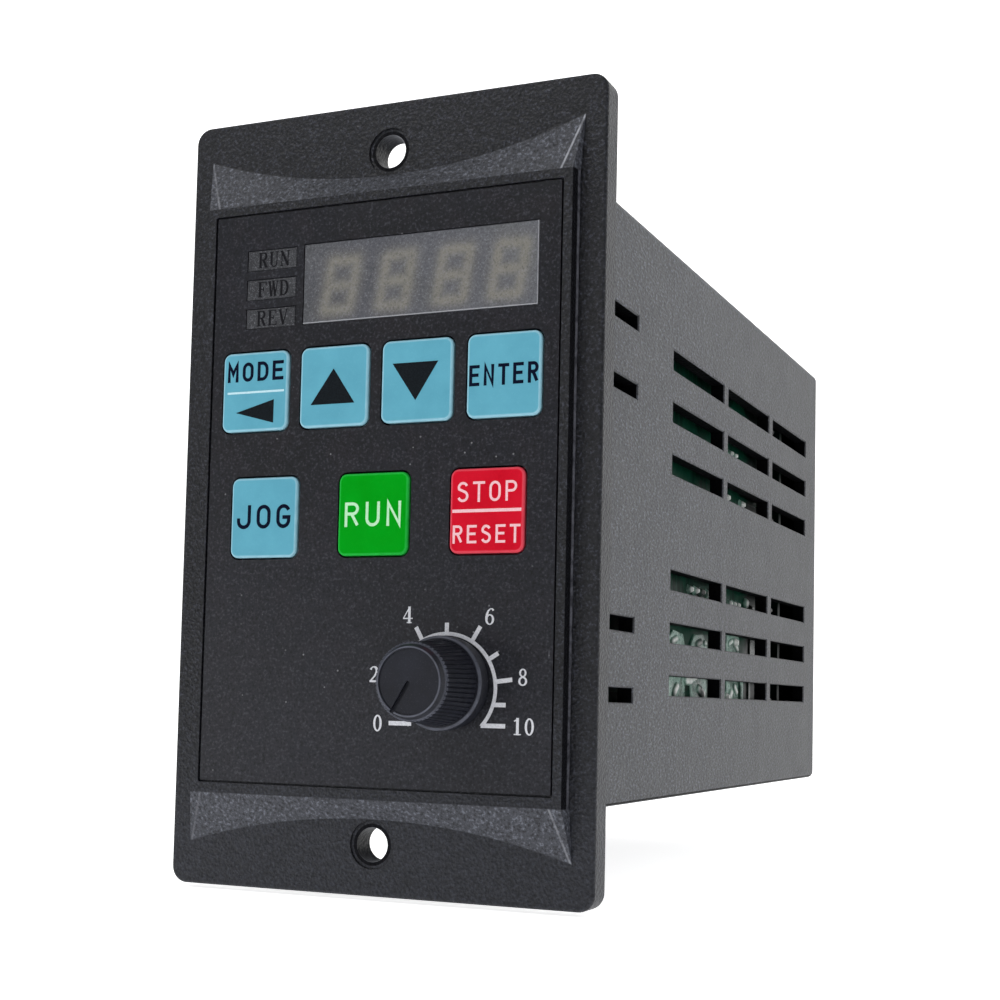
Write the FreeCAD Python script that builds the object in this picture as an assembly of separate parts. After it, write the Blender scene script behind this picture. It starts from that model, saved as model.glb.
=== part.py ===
import FreeCAD, Part
import os
import math

V = FreeCAD.Vector
os.makedirs("parts", exist_ok=True)

# Panel-mounted variable frequency drive, millimetres.
# Frame: X to the right seen from the front, Y rearwards, Z up.
# Origin: centre of the flange's rear seating face (the face that lies on the panel).

# ------------------------------------------------------------------ driving dimensions
FLANGE_W = 60.8            # flange width
FLANGE_H = 104.0           # flange height
FLANGE_T = 3.7             # flange thickness
FLANGE_R = 2.2             # flange corner radius
HOLE_Z = 45.4              # mounting holes above / below centre
HOLE_R = 2.2               # M4 clearance hole
HOLE_RING_R = 3.1          # shallow ring round each mounting hole
HOLE_RING_D = 0.25

PLAT_X = 26.6              # raised plateau half width at its front edge
PLAT_XB = 27.0             # and at the flange
PLAT_Z = 39.6              # plateau half height
PLAT_Y = -5.6              # plateau front
RAMP_ZC = 42.2             # ramp foot at the centre line
RAMP_XE = 27.5             # ramp foot end
RAMP_ZT = 47.0             # ramp foot end height, top
RAMP_ZB = 46.4             # ramp foot end height, bottom
RIDGE_X = 25.0             # ridge start on the plateau

OVL_X = 25.17              # overlay half width
OVL_ZB = -37.97
OVL_ZT = 38.17
OVL_Y0 = -5.5              # overlay front
OVL_Y1 = -5.0              # overlay back = recess floor
OVL_GAP = 0.28
WALL_Y = -3.2              # rear side of the bezel's front wall
CAV_X = 24.2               # bezel cavity half width
CAV_Z = 38.0               # bezel cavity half height

WIN = (-11.4, 22.2, 22.75, 33.4)                 # display window x0, x1, z0, z1
IND_X = (-20.2, -12.65)                          # indicator windows
IND_Z = ((30.55, 33.25), (26.55, 29.25), (22.65, 25.25))

KEY_W = 10.1               # key cap width
KEY_H = 10.7               # key cap height
KEY_R = 1.1                # key cap corner radius
KEY_Y = -5.8               # key cap front at rest
KEY_GAP = 0.25             # round gap between cap and opening
KEY_TRAVEL = 0.5
KEYS = {                   # key centres
    "mode_key": (-18.3, 14.0),
    "up_key": (-6.28, 14.02),
    "down_key": (5.8, 14.06),
    "enter_key": (17.93, 14.08),
    "jog_key": (-16.34, -3.02),
    "run_key": (0.0, -3.0),
    "stop_reset_key": (16.02, -2.97),
}

KX, KZ = 10.9, -24.6       # knob axis
KNOB_BACK = -5.8
KNOB_FRONT = -16.2
KNOB_SKIRT_R = 5.9
KNOB_SKIRT_Y = -8.1
KNOB_R0, KNOB_R1 = 5.35, 4.8
KNOB_FLUTES = 54
FLUTE_D = 0.16             # flute depth
NECK_Y = -15.3             # front end of the fluted length
POINTER_W = 0.60           # pointer groove width
POINTER_DEG = 239.5        # pointer direction at rest, from +X towards +Z
SHAFT_R = 3.0

PCB_Y0, PCB_Y1 = 4.0, 5.6  # control board
PCB_X, PCB_Z = 23.3, 37.5
BOSS = ((-19.5, 35.3), (19.5, 35.3), (-19.5, -35.3), (19.5, -35.3))

HS_X, HS_Z = 27.14, 40.15  # rear housing half width / half height
HS_LEN = 131.6             # rear housing length behind the seating face
HS_WALL = 2.2
HS_REAR = 2.5
VENT_COLS = ((35.6, 63.1), (65.7, 92.9), (95.7, 122.2))
VENT_ROWS = (-23.85, -16.15, -8.45, 8.45, 16.15, 23.85)
VENT_H = 2.95
SNAP_Y = (9.5, 19.3)
SNAP_ROWS = (-25.5, -16.0, 16.0, 25.5)
SNAP_H = 2.0
RIM = 0.2                  # broken edge round each slot

PP_X0, PP_X1 = 21.4, 23.0  # power board, upright beside the right-hand wall
PP_Y0, PP_Y1 = 14.0, 111.0
PP_Z = 37.6
TP_Y0, TP_Y1 = 112.0, 113.6  # terminal board
TB_FACE = 131.2            # terminal block faces


# ------------------------------------------------------------------ helpers
def box(x0, x1, y0, y1, z0, z1):
    return Part.makeBox(x1 - x0, y1 - y0, z1 - z0, V(x0, y0, z0))


def cyl_y(r, x, z, y0, y1):
    return Part.makeCylinder(r, y1 - y0, V(x, y0, z), V(0, 1, 0))


def cyl_x(r, y, z, x0, x1):
    return Part.makeCylinder(r, x1 - x0, V(x0, y, z), V(1, 0, 0))


def cyl_z(r, x, y, z0, z1):
    return Part.makeCylinder(r, z1 - z0, V(x, y, z0), V(0, 0, 1))


def rrect_y(x0, x1, z0, z1, y0, y1, r):
    """Prism along Y with a rounded rectangular section."""
    if r <= 0:
        return box(x0, x1, y0, y1, z0, z1)
    q = r * (1 - math.sqrt(0.5))
    e = [
        Part.LineSegment(V(x0 + r, y0, z0), V(x1 - r, y0, z0)).toShape(),
        Part.Arc(V(x1 - r, y0, z0), V(x1 - q, y0, z0 + q), V(x1, y0, z0 + r)).toShape(),
        Part.LineSegment(V(x1, y0, z0 + r), V(x1, y0, z1 - r)).toShape(),
        Part.Arc(V(x1, y0, z1 - r), V(x1 - q, y0, z1 - q), V(x1 - r, y0, z1)).toShape(),
        Part.LineSegment(V(x1 - r, y0, z1), V(x0 + r, y0, z1)).toShape(),
        Part.Arc(V(x0 + r, y0, z1), V(x0 + q, y0, z1 - q), V(x0, y0, z1 - r)).toShape(),
        Part.LineSegment(V(x0, y0, z1 - r), V(x0, y0, z0 + r)).toShape(),
        Part.Arc(V(x0, y0, z0 + r), V(x0 + q, y0, z0 + q), V(x0 + r, y0, z0)).toShape(),
    ]
    return Part.Face(Part.Wire(e)).extrude(V(0, y1 - y0, 0))


def rrect_x(y0, y1, z0, z1, x0, x1, r):
    """Prism along X with a rounded rectangular section."""
    s = rrect_y(-z1, -z0, -y1, -y0, x0, x1, r)
    s.rotate(V(0, 0, 0), V(0, 0, 1), -90)
    s.rotate(V(0, 0, 0), V(1, 0, 0), 90)
    return s


def front_edges(s, y, tol=1e-4):
    """Edges of a solid that lie wholly in the plane Y = y."""
    return [e for e in s.Edges
            if abs(e.BoundBox.YMin - y) < tol and abs(e.BoundBox.YMax - y) < tol]


def fillet_try(s, edges, r):
    try:
        f = s.makeFillet(r, edges)
        if f.isValid() and f.Volume > 0.5 * s.Volume:
            return f
    except Exception as err:
        print("fillet skipped:", err)
    return s


def chamfer_try(s, edges, c):
    try:
        f = s.makeChamfer(c, edges)
        if f.isValid() and f.Volume > 0.5 * s.Volume:
            return f
    except Exception as err:
        print("chamfer skipped:", err)
    return s


def poly_face(pts):
    return Part.Face(Part.makePolygon([V(*p) for p in pts] + [V(*pts[0])]))


def solid_from_faces(faces):
    sh = Part.Shell(faces)
    so = Part.Solid(sh)
    if so.Volume < 0:
        so.reverse()
    return so


def export(shape, name):
    """Write one node; a group keeps its separate solids."""
    sols = shape.Solids
    for s in sols:
        if not s.isValid():
            print("INVALID", name)
    out = sols[0] if len(sols) == 1 else Part.Compound(sols)
    out.exportStep("parts/%s.step" % name)
    b = out.BoundBox
    print("%-26s solids %3d vol %10.2f  x %.2f..%.2f y %.2f..%.2f z %.2f..%.2f" % (
        name, len(sols), sum(s.Volume for s in sols),
        b.XMin, b.XMax, b.YMin, b.YMax, b.ZMin, b.ZMax))
    return out


def group(shapes):
    return Part.Compound([s for sh in shapes for s in sh.Solids])


# ------------------------------------------------------------------ front bezel
flange = rrect_y(-FLANGE_W / 2, FLANGE_W / 2, -FLANGE_H / 2, FLANGE_H / 2, -FLANGE_T, 0, FLANGE_R)
flange = fillet_try(flange, front_edges(flange, -FLANGE_T), 0.4)

fy = -FLANGE_T
plateau = Part.makeLoft([
    Part.makePolygon([V(-PLAT_XB, fy, -PLAT_Z), V(PLAT_XB, fy, -PLAT_Z), V(PLAT_XB, fy, PLAT_Z),
                      V(-PLAT_XB, fy, PLAT_Z), V(-PLAT_XB, fy, -PLAT_Z)]),
    Part.makePolygon([V(-PLAT_X, PLAT_Y, -PLAT_Z), V(PLAT_X, PLAT_Y, -PLAT_Z), V(PLAT_X, PLAT_Y, PLAT_Z),
                      V(-PLAT_X, PLAT_Y, PLAT_Z), V(-PLAT_X, PLAT_Y, -PLAT_Z)]),
], True, True)


def ramp(s, z_end):
    """Sloping end of the plateau, s = +1 top or -1 bottom: it falls from the
    plateau's straight end to an arc on the flange, with a triangular facet at each corner."""
    zp, zc, ze = s * PLAT_Z, s * RAMP_ZC, s * z_end
    line = Part.LineSegment(V(-RIDGE_X, PLAT_Y, zp), V(RIDGE_X, PLAT_Y, zp)).toShape()
    arc = Part.Arc(V(-RAMP_XE, fy, ze), V(0, fy, zc), V(RAMP_XE, fy, ze)).toShape()
    faces = [Part.makeRuledSurface(line, arc)]
    for m in (1, -1):
        faces.append(poly_face([(m * RIDGE_X, PLAT_Y, zp), (m * PLAT_X, PLAT_Y, zp), (m * RAMP_XE, fy, ze)]))
        faces.append(poly_face([(m * PLAT_X, PLAT_Y, zp), (m * PLAT_XB, fy, zp), (m * RAMP_XE, fy, ze)]))
    faces.append(poly_face([(-PLAT_XB, fy, zp), (-PLAT_X, PLAT_Y, zp), (-RIDGE_X, PLAT_Y, zp),
                            (RIDGE_X, PLAT_Y, zp), (PLAT_X, PLAT_Y, zp), (PLAT_XB, fy, zp)]))
    w = Part.Wire(Part.__sortEdges__([
        arc,
        Part.LineSegment(V(RAMP_XE, fy, ze), V(PLAT_XB, fy, zp)).toShape(),
        Part.LineSegment(V(PLAT_XB, fy, zp), V(-PLAT_XB, fy, zp)).toShape(),
        Part.LineSegment(V(-PLAT_XB, fy, zp), V(-RAMP_XE, fy, ze)).toShape()]))
    faces.append(Part.Face(w))
    sh = Part.makeShell(faces)
    sh.sewShape()
    so = Part.makeSolid(sh)
    if so.Volume < 0:
        so.reverse()
    return so


bezel = flange.fuse([plateau, ramp(1, RAMP_ZT), ramp(-1, RAMP_ZB)])
bezel = bezel.removeSplitter()

# overlay recess, cavity behind the front wall
g = OVL_GAP
bezel = bezel.cut(rrect_y(-OVL_X - g, OVL_X + g, OVL_ZB - g, OVL_ZT + g, -7, OVL_Y1, 0.3))
bezel = bezel.cut(box(-CAV_X, CAV_X, WALL_Y, 1, -CAV_Z, CAV_Z))

cuts = []
# mounting holes with their shallow rings
for s in (1, -1):
    cuts.append(cyl_y(HOLE_R, 0, s * HOLE_Z, -7, 1))
    cuts.append(cyl_y(HOLE_RING_R, 0, s * HOLE_Z, -7, fy + HOLE_RING_D))
# display window pocket and the smaller opening behind its ledge
cuts.append(box(WIN[0] - 0.1, WIN[1] + 0.1, -6, -4.5, WIN[2] - 0.1, WIN[3] + 0.1))
cuts.append(box(WIN[0] + 0.6, WIN[1] - 0.6, -6, -3, WIN[2] + 0.6, WIN[3] - 0.6))
for z0, z1 in IND_Z:
    cuts.append(box(IND_X[0] - 0.08, IND_X[1] + 0.08, -6, -4.5, z0 - 0.08, z1 + 0.08))
    cuts.append(box(IND_X[0] + 0.5, IND_X[1] - 0.5, -6, -3, z0 + 0.4, z1 - 0.4))
for cx, cz in KEYS.values():
    hw, hh = KEY_W / 2 + KEY_GAP, KEY_H / 2 + KEY_GAP
    cuts.append(rrect_y(cx - hw, cx + hw, cz - hh, cz + hh, -6, -3, KEY_R + KEY_GAP))
cuts.append(cyl_y(3.7, KX, KZ, -6, -3))
bezel = bezel.cut(cuts)

adds = []
# screw bosses for the control board
for bx, bz in BOSS:
    adds.append(cyl_y(2.3, bx, bz, WALL_Y - 0.2, PCB_Y0).cut(cyl_y(1.05, bx, bz, -2.0, 6)))
# snap arms that hold the rear housing, hooks pointing outwards
for s in (1, -1):
    for z in SNAP_ROWS:
        x0, x1, xb = 23.95, 24.88, 26.3
        pts = [(s * x0, WALL_Y - 0.2, z - 0.85), (s * x1, WALL_Y - 0.2, z - 0.85), (s * x1, SNAP_Y[0] + 0.1, z - 0.85),
               (s * xb, SNAP_Y[0] + 0.15, z - 0.85), (s * xb, SNAP_Y[0] + 0.9, z - 0.85),
               (s * x1, 12.6, z - 0.85), (s * x0, 12.9, z - 0.85)]
        adds.append(poly_face(pts).extrude(V(0, 0, 1.7)))
bezel = bezel.fuse(adds).removeSplitter()
bezel = bezel.cut([cyl_y(1.05, bx, bz, -2.0, 6) for bx, bz in BOSS])
export(bezel, "front_bezel")

# ------------------------------------------------------------------ printed overlay
ov = rrect_y(-OVL_X, OVL_X, OVL_ZB, OVL_ZT, OVL_Y0, OVL_Y1, 0.15)
oc = [box(WIN[0] - 0.1, WIN[1] + 0.1, -6, -4.5, WIN[2] - 0.1, WIN[3] + 0.1)]
for z0, z1 in IND_Z:
    oc.append(box(IND_X[0] - 0.08, IND_X[1] + 0.08, -6, -4.5, z0 - 0.08, z1 + 0.08))
for cx, cz in KEYS.values():
    hw, hh = KEY_W / 2 + KEY_GAP, KEY_H / 2 + KEY_GAP
    oc.append(rrect_y(cx - hw, cx + hw, cz - hh, cz + hh, -6, -3, KEY_R + KEY_GAP))
oc.append(cyl_y(4.2, KX, KZ, -6, -3))
export(ov.cut(oc), "front_overlay")

# ------------------------------------------------------------------ windows, display, lamps
w = box(WIN[0], WIN[1], OVL_Y0 - 0.08, -4.5, WIN[2], WIN[3])
w = chamfer_try(w, front_edges(w, OVL_Y0 - 0.08), 0.14)
export(w, "display_window")
iw = []
for z0, z1 in IND_Z:
    b = box(IND_X[0], IND_X[1], OVL_Y0, -4.5, z0, z1)
    iw.append(chamfer_try(b, front_edges(b, OVL_Y0), 0.08))
export(group(iw), "indicator_windows")

DB = (WIN[0] + 0.8, WIN[1] - 0.8, WIN[2] + 0.75, WIN[3] - 0.75)
db = box(DB[0], DB[1], -4.35, PCB_Y0, DB[2], DB[3])
export(db, "led_display_body")

DIG_X = (-6.0, 2.05, 10.1, 18.1 - 0.1)      # digit centres
DIG_ZC, DIG_H, DIG_W = 27.95, 7.5, 4.6
SLANT = math.tan(math.radians(9))
SEG_T = 0.95


def seg(cx, pts):
    out = []
    for px, pz in pts:
        out.append((cx + px + pz * SLANT, -4.45, DIG_ZC + pz))
    return poly_face(out).extrude(V(0, 0.1, 0))


segs = []
hw, hh, t, gp = DIG_W / 2, DIG_H / 2, SEG_T, 0.12
for cx in DIG_X:
    for zc in (hh - t / 2, 0, -hh + t / 2):      # horizontal bars
        a = hw - t * 0.5 - gp
        segs.append(seg(cx, [(-a, zc), (-a + t / 2, zc + t / 2), (a - t / 2, zc + t / 2), (a, zc),
                             (a - t / 2, zc - t / 2), (-a + t / 2, zc - t / 2)]))
    for sx in (-1, 1):                           # upright bars
        xc = sx * (hw - t / 2)
        for z0, z1 in ((gp, hh - t / 2 - gp), (-hh + t / 2 + gp, -gp)):
            segs.append(seg(cx, [(xc, z0), (xc + t / 2, z0 + t / 2), (xc + t / 2, z1 - t / 2), (xc, z1),
                                 (xc - t / 2, z1 - t / 2), (xc - t / 2, z0 + t / 2)]))
    px = cx + hw + 0.75 - (hh - 0.5) * SLANT     # decimal point
    segs.append(cyl_y(0.5, px, DIG_ZC - hh + 0.5, -4.45, -4.35))
export(group(segs), "led_display_segments")

lamps = []
icx = (IND_X[0] + IND_X[1]) / 2
for z0, z1 in IND_Z:
    zc = (z0 + z1) / 2
    b = box(icx - 2.5, icx + 2.5, -4.4, PCB_Y0, zc - 0.85, zc + 0.85)
    lamps.append(chamfer_try(b, front_edges(b, -4.4), 0.2))
export(group(lamps), "status_leds")

# ------------------------------------------------------------------ control board
cp = box(-PCB_X, PCB_X, PCB_Y0, PCB_Y1, -PCB_Z, PCB_Z)
cp = cp.cut([cyl_y(1.2, bx, bz, 3, 7) for bx, bz in BOSS])
export(cp, "control_pcb")

scr = []
for bx, bz in BOSS:
    h = cyl_y(1.95, bx, bz, PCB_Y1, PCB_Y1 + 1.3)
    h = fillet_try(h, front_edges(h, PCB_Y1 + 1.3), 0.5)
    s = h.fuse(cyl_y(1.0, bx, bz, -1.6, PCB_Y1))
    s = s.cut([box(bx - 1.2, bx + 1.2, PCB_Y1 + 0.7, PCB_Y1 + 2, bz - 0.22, bz + 0.22),
               box(bx - 0.22, bx + 0.22, PCB_Y1 + 0.7, PCB_Y1 + 2, bz - 1.2, bz + 1.2)])
    scr.append(s)
export(group(scr), "control_pcb_screws")

# tact switches and the keys that press them
SW_Y0 = 0.5
sws = []
for cx, cz in KEYS.values():
    b = box(cx - 3, cx + 3, SW_Y0, PCB_Y0, cz - 3, cz + 3)
    b = b.cut(cyl_y(1.83, cx, cz, 0, 2.3))
    for dx in (-2.3, 2.3):
        for dz in (-2.3, 2.3):
            b = b.fuse(cyl_y(0.4, cx + dx, cz + dz, SW_Y0 - 0.15, SW_Y0 + 0.2))
    sws.append(b)
export(group(sws), "tact_switch_bodies")

for name, (cx, cz) in KEYS.items():
    cap = rrect_y(cx - KEY_W / 2, cx + KEY_W / 2, cz - KEY_H / 2, cz + KEY_H / 2, KEY_Y, -2.4, KEY_R)
    cap = fillet_try(cap, front_edges(cap, KEY_Y), 0.3)
    lip = rrect_y(cx - 5.6, cx + 5.6, cz - 6.3, cz + 6.3, -3.1, -2.4, 1.3)
    cap = cap.fuse(lip).removeSplitter()
    pocket = rrect_y(cx - 4.0, cx + 4.0, cz - 4.3, cz + 4.3, -4.4, -2, 0.6).cut(cyl_y(2.1, cx, cz, -5, -1))
    cap = cap.cut(pocket)
    export(cap, name)
    pl = cyl_y(1.75, cx, cz, -2.4, 1.2)
    export(pl, name.replace("_key", "") + "_plunger")

# ------------------------------------------------------------------ speed potentiometer
pb = box(KX - 4.85, KX + 4.85, -2.0, PCB_Y0, KZ - 5.7, KZ + 5.7).cut(cyl_y(4.2, KX, KZ, -3, 1.5))
export(pb, "pot_body")
bu = rrect_y(KX - 4.85, KX + 4.85, KZ - 5.7, KZ + 5.7, -2.8, -2.0, 0.5)
bu = bu.fuse(cyl_y(3.5, KX, KZ, -7.0, -2.5)).cut(cyl_y(SHAFT_R + 0.06, KX, KZ, -8, 0))
bu = chamfer_try(bu, [e for e in front_edges(bu, -7.0) if e.BoundBox.XLength > 6.9], 0.4)
export(bu, "pot_bushing")
sh = cyl_y(SHAFT_R, KX, KZ, -14.0, 0.8)
sh = chamfer_try(sh, front_edges(sh, -14.0), 0.4)
sh = sh.fuse(cyl_y(3.9, KX, KZ, -1.8, 0.8))
export(sh, "pot_shaft")

# knob: skirt, fluted tapering body, chamfered front with a shallow dish and a pointer groove
skirt = cyl_y(KNOB_SKIRT_R, KX, KZ, KNOB_SKIRT_Y, KNOB_BACK)
skirt = fillet_try(skirt, front_edges(skirt, KNOB_SKIRT_Y), 0.35)


def flute_ring(y, r, depth):
    pts = []
    n = KNOB_FLUTES
    for i in range(n):
        for f, rr in ((0.0, r - depth), (0.22, r), (0.78, r)):
            a = 2 * math.pi * (i + f) / n
            pts.append(V(KX + rr * math.cos(a), y, KZ + rr * math.sin(a)))
    return Part.makePolygon(pts + [pts[0]])


body = Part.makeLoft([flute_ring(KNOB_SKIRT_Y + 0.3, KNOB_R0, FLUTE_D), flute_ring(NECK_Y - 0.2, KNOB_R1, FLUTE_D)], True, True)
# turned profile that trims the flutes into the front chamfer
prof = [(0, KNOB_SKIRT_Y + 0.4), (6.5, KNOB_SKIRT_Y + 0.4), (6.5, NECK_Y + 0.35), (4.62, NECK_Y - 0.12), (4.22, KNOB_FRONT), (0, KNOB_FRONT)]
pw = Part.makePolygon([V(KX + r, y, KZ) for r, y in prof] + [V(KX + prof[0][0], prof[0][1], KZ)])
turned = Part.Face(pw).revolve(V(KX, 0, KZ), V(0, 1, 0), 360)
nose_prof = [(0, NECK_Y + 0.3), (4.64, NECK_Y + 0.3), (4.60, NECK_Y - 0.12), (4.32, KNOB_FRONT + 0.12), (4.20, KNOB_FRONT), (0, KNOB_FRONT)]
nw = Part.makePolygon([V(KX + r, y, KZ) for r, y in nose_prof] + [V(KX + nose_prof[0][0], nose_prof[0][1], KZ)])
nose = Part.Face(nw).revolve(V(KX, 0, KZ), V(0, 1, 0), 360)
knob = skirt.fuse([body.common(turned), nose])
dish = cyl_y(3.98, KX, KZ, -18, KNOB_FRONT + 0.15)
knob = knob.cut(dish)
ptr = box(KX + 0.25, KX + 4.6, -18, KNOB_FRONT + 0.60, KZ - POINTER_W / 2, KZ + POINTER_W / 2)
ptr = ptr.fuse(cyl_y(POINTER_W / 2, KX + 0.25, KZ, -18, KNOB_FRONT + 0.60))
ptr.rotate(V(KX, 0, KZ), V(0, 1, 0), -POINTER_DEG)
knob = knob.cut(ptr)
knob = knob.cut([cyl_y(3.9, KX, KZ, -7.5, 0), cyl_y(SHAFT_R + 0.02, KX, KZ, -14.05, 0)])
knob = knob.removeSplitter()
export(knob, "speed_knob")

# ------------------------------------------------------------------ control board rear side
export(group([
    box(-9.0, 1.0, PCB_Y1, PCB_Y1 + 1.5, -6.0, 4.0),
    box(-19.0, -13.6, PCB_Y1, PCB_Y1 + 1.6, 8.0, 18.2),
    box(-19.0, -13.6, PCB_Y1, PCB_Y1 + 1.6, -18.0, -7.8),
    box(-4.0, 1.2, PCB_Y1, PCB_Y1 + 1.6, 14.0, 24.0),
    box(-10.0, -5.6, PCB_Y1, PCB_Y1 + 1.4, -24.0, -18.0),
    cyl_y(2.6, 4.5, -22.0, PCB_Y1, PCB_Y1 + 5.5),
    cyl_y(2.6, 4.5, -29.0, PCB_Y1, PCB_Y1 + 5.5),
    box(-1.0, 1.6, PCB_Y1, PCB_Y1 + 3.4, -16.6, -8.6),
]), "control_board_parts")

sk = box(14.0, 19.0, PCB_Y1, 14.0, -14.0, 14.0)
sk = sk.cut([box(15.0 + dx, 15.7 + dx, 10.0, 15.0, z - 0.35, z + 0.35)
             for dx in (0, 2.3) for z in [(-11 + 2.0 * i) for i in range(12)]])
export(sk, "interboard_socket")

# ------------------------------------------------------------------ rear housing
outer = box(-HS_X, HS_X, 0, HS_LEN, -HS_Z, HS_Z)
long_edges = [e for e in outer.Edges if e.BoundBox.YLength > 100]
outer = fillet_try(outer, long_edges, 1.2)
outer = fillet_try(outer, front_edges(outer, HS_LEN), 0.8)
inner = box(-HS_X + HS_WALL, HS_X - HS_WALL, -1, HS_LEN - HS_REAR, -HS_Z + HS_WALL, HS_Z - HS_WALL)
hs = outer.cut(inner)
cuts = []
for y0, y1 in VENT_COLS:
    for z in VENT_ROWS:
        cuts.append(box(-30, 30, y0, y1, z - VENT_H / 2, z + VENT_H / 2))
for z in SNAP_ROWS:
    cuts.append(box(-30, 30, SNAP_Y[0], SNAP_Y[1], z - SNAP_H / 2, z + SNAP_H / 2))
# openings for the two terminal blocks
PTB_X, PTB_N, PTB_P = (5.5, 19.5), 6, 7.62
CTB_X, CTB_N, CTB_P = (-18.5, -8.5), 12, 5.08
PTB_Z = PTB_N * PTB_P / 2 + 0.6
CTB_Z = CTB_N * CTB_P / 2 + 0.6
cuts.append(rrect_y(PTB_X[0] - 0.3, PTB_X[1] + 0.3, -PTB_Z - 0.3, PTB_Z + 0.3, 120, 140, 0.4))
cuts.append(rrect_y(CTB_X[0] - 0.3, CTB_X[1] + 0.3, -CTB_Z - 0.3, CTB_Z + 0.3, 120, 140, 0.4))
hs = hs.cut(cuts)
# broken edges round the side slots and snap windows
rims = [e for e in hs.Edges
        if abs(abs(e.BoundBox.XMin) - HS_X) < 1e-4 and abs(abs(e.BoundBox.XMax) - HS_X) < 1e-4
        and e.BoundBox.XLength < 1e-3 and e.BoundBox.YLength < 100
        and e.BoundBox.YMin > 1.0 and e.BoundBox.YMax < HS_LEN - 2.0 and abs(e.BoundBox.ZMax) < 30]
hs = chamfer_try(hs, rims, RIM)
# guide ribs that grip the power board's upper and lower edges
ribs = []
zi = HS_Z - HS_WALL
for s in (1, -1):
    for x0, x1 in ((19.9, 21.3), (23.1, 24.4)):
        za, zb = sorted((s * (zi + 0.1), s * 35.9))
        ribs.append(box(x0, x1, 18.0, 110.0, za, zb))
    # ribs that hold the terminal board's edges
    za, zb = sorted((s * (zi + 0.1), s * 35.2))
    ribs.append(box(-19.0, 14.0, TP_Y1 + 0.1, TP_Y1 + 1.7, za, zb))
hs = hs.fuse(ribs).removeSplitter()
export(hs, "rear_housing")

# ------------------------------------------------------------------ power board
export(box(PP_X0, PP_X1, PP_Y0, PP_Y1, -PP_Z, PP_Z).cut([
    cyl_x(1.6, 17.5, 33.5, 20, 24), cyl_x(1.6, 107.5, 33.5, 20, 24),
    cyl_x(1.6, 17.5, -33.5, 20, 24), cyl_x(1.6, 107.5, -33.5, 20, 24)]), "power_pcb")

hd = box(14.0, PP_X0, 14.0, 18.6, -14.0, 14.0)
export(hd, "interboard_header")

# heatsink: base plate with fins standing towards the top wall
HSK = (-20.0, 17.5, 22.0, 98.0)
base = box(HSK[0], HSK[1], HSK[2], HSK[3], 26.0, 29.0)
fins = []
nf = 9
for i in range(nf):
    x = HSK[0] + i * (HSK[1] - HSK[0] - 1.5) / (nf - 1)
    fins.append(box(x, x + 1.5, HSK[2], HSK[3], 28.5, 36.8))
hsk = base.fuse(fins).removeSplitter()
for y in (35.0, 47.5, 88.5):
    hsk = hsk.cut(cyl_z(1.3, 9.5, y, 25, 28.6))
export(hsk, "heatsink")

pm = box(1.5, 17.5, 50.0, 86.0, 21.8, 25.95)
pm = chamfer_try(pm, [e for e in pm.Edges if e.BoundBox.YLength > 30], 0.5)
pm = pm.cut([cyl_z(1.75, 9.5, 50.2, 20, 27), cyl_z(1.75, 9.5, 85.8, 20, 27)])
pins = [box(17.2, PP_X0, y - 0.4, y + 0.4, 23.4, 24.0) for y in [52.5 + 2.54 * i for i in range(13)]]
pins += [box(-0.3, 1.8, y - 0.4, y + 0.4, 23.4, 24.0) for y in [55 + 5.08 * i for i in range(6)]]
export(pm.fuse(pins).removeSplitter(), "power_module")

br = box(1.5, 18.5, 25.5, 44.5, 22.35, 25.95)
br = chamfer_try(br, [e for e in br.Edges if e.BoundBox.XLength > 16], 0.4)
br = br.cut(cyl_z(1.7, 9.5, 35.0, 20, 27))
pins = [box(18.3, PP_X0, y - 0.6, y + 0.6, 23.8, 24.6) for y in (28.0, 33.0, 38.0, 42.5)]
export(br.fuse(pins).removeSplitter(), "bridge_rectifier")

hss = []
for y, z0 in ((35.0, 22.35), (49.3, 21.8), (86.7, 21.8)):
    yy = y if y == 35.0 else (47.5 if y < 60 else 88.5)
    head = cyl_z(2.6 if y == 35.0 else 3.0, 9.5, yy, z0 - 2.0, z0)
    head = head.cut([box(9.5 - 1.6, 9.5 + 1.6, yy - 0.3, yy + 0.3, z0 - 3, z0 - 1.1),
                     box(9.5 - 0.3, 9.5 + 0.3, yy - 1.6, yy + 1.6, z0 - 3, z0 - 1.1)])
    hss.append(head.fuse(cyl_z(1.25, 9.5, yy, z0, 28.4)))
export(group(hss), "heatsink_screws")


def can(y, z, r, length, name=None):
    """Aluminium electrolytic capacitor standing on the power board, axis along X."""
    x0 = PP_X0 - length
    c = cyl_x(r, y, z, x0, PP_X0)
    ends = [e for e in c.Edges if abs(e.BoundBox.XMin - x0) < 1e-4 and abs(e.BoundBox.XMax - x0) < 1e-4]
    c = fillet_try(c, ends, min(0.8, r * 0.15))
    groove = cyl_x(r + 1, y, z, PP_X0 - 3.6, PP_X0 - 2.6).cut(cyl_x(r - 0.45, y, z, PP_X0 - 4, PP_X0 - 2))
    c = c.cut(groove)
    c = c.cut([box(x0 - 1, x0 + 0.35, y - 0.2, y + 0.2, z - r * 0.7, z + r * 0.7),
               box(x0 - 1, x0 + 0.35, y - r * 0.7, y + r * 0.7, z - 0.2, z + 0.2)])
    return c


export(can(60.0, 7.5, 11.0, 42.0), "bulk_capacitor_upper")
export(can(60.0, -17.0, 11.0, 42.0), "bulk_capacitor_lower")

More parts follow.
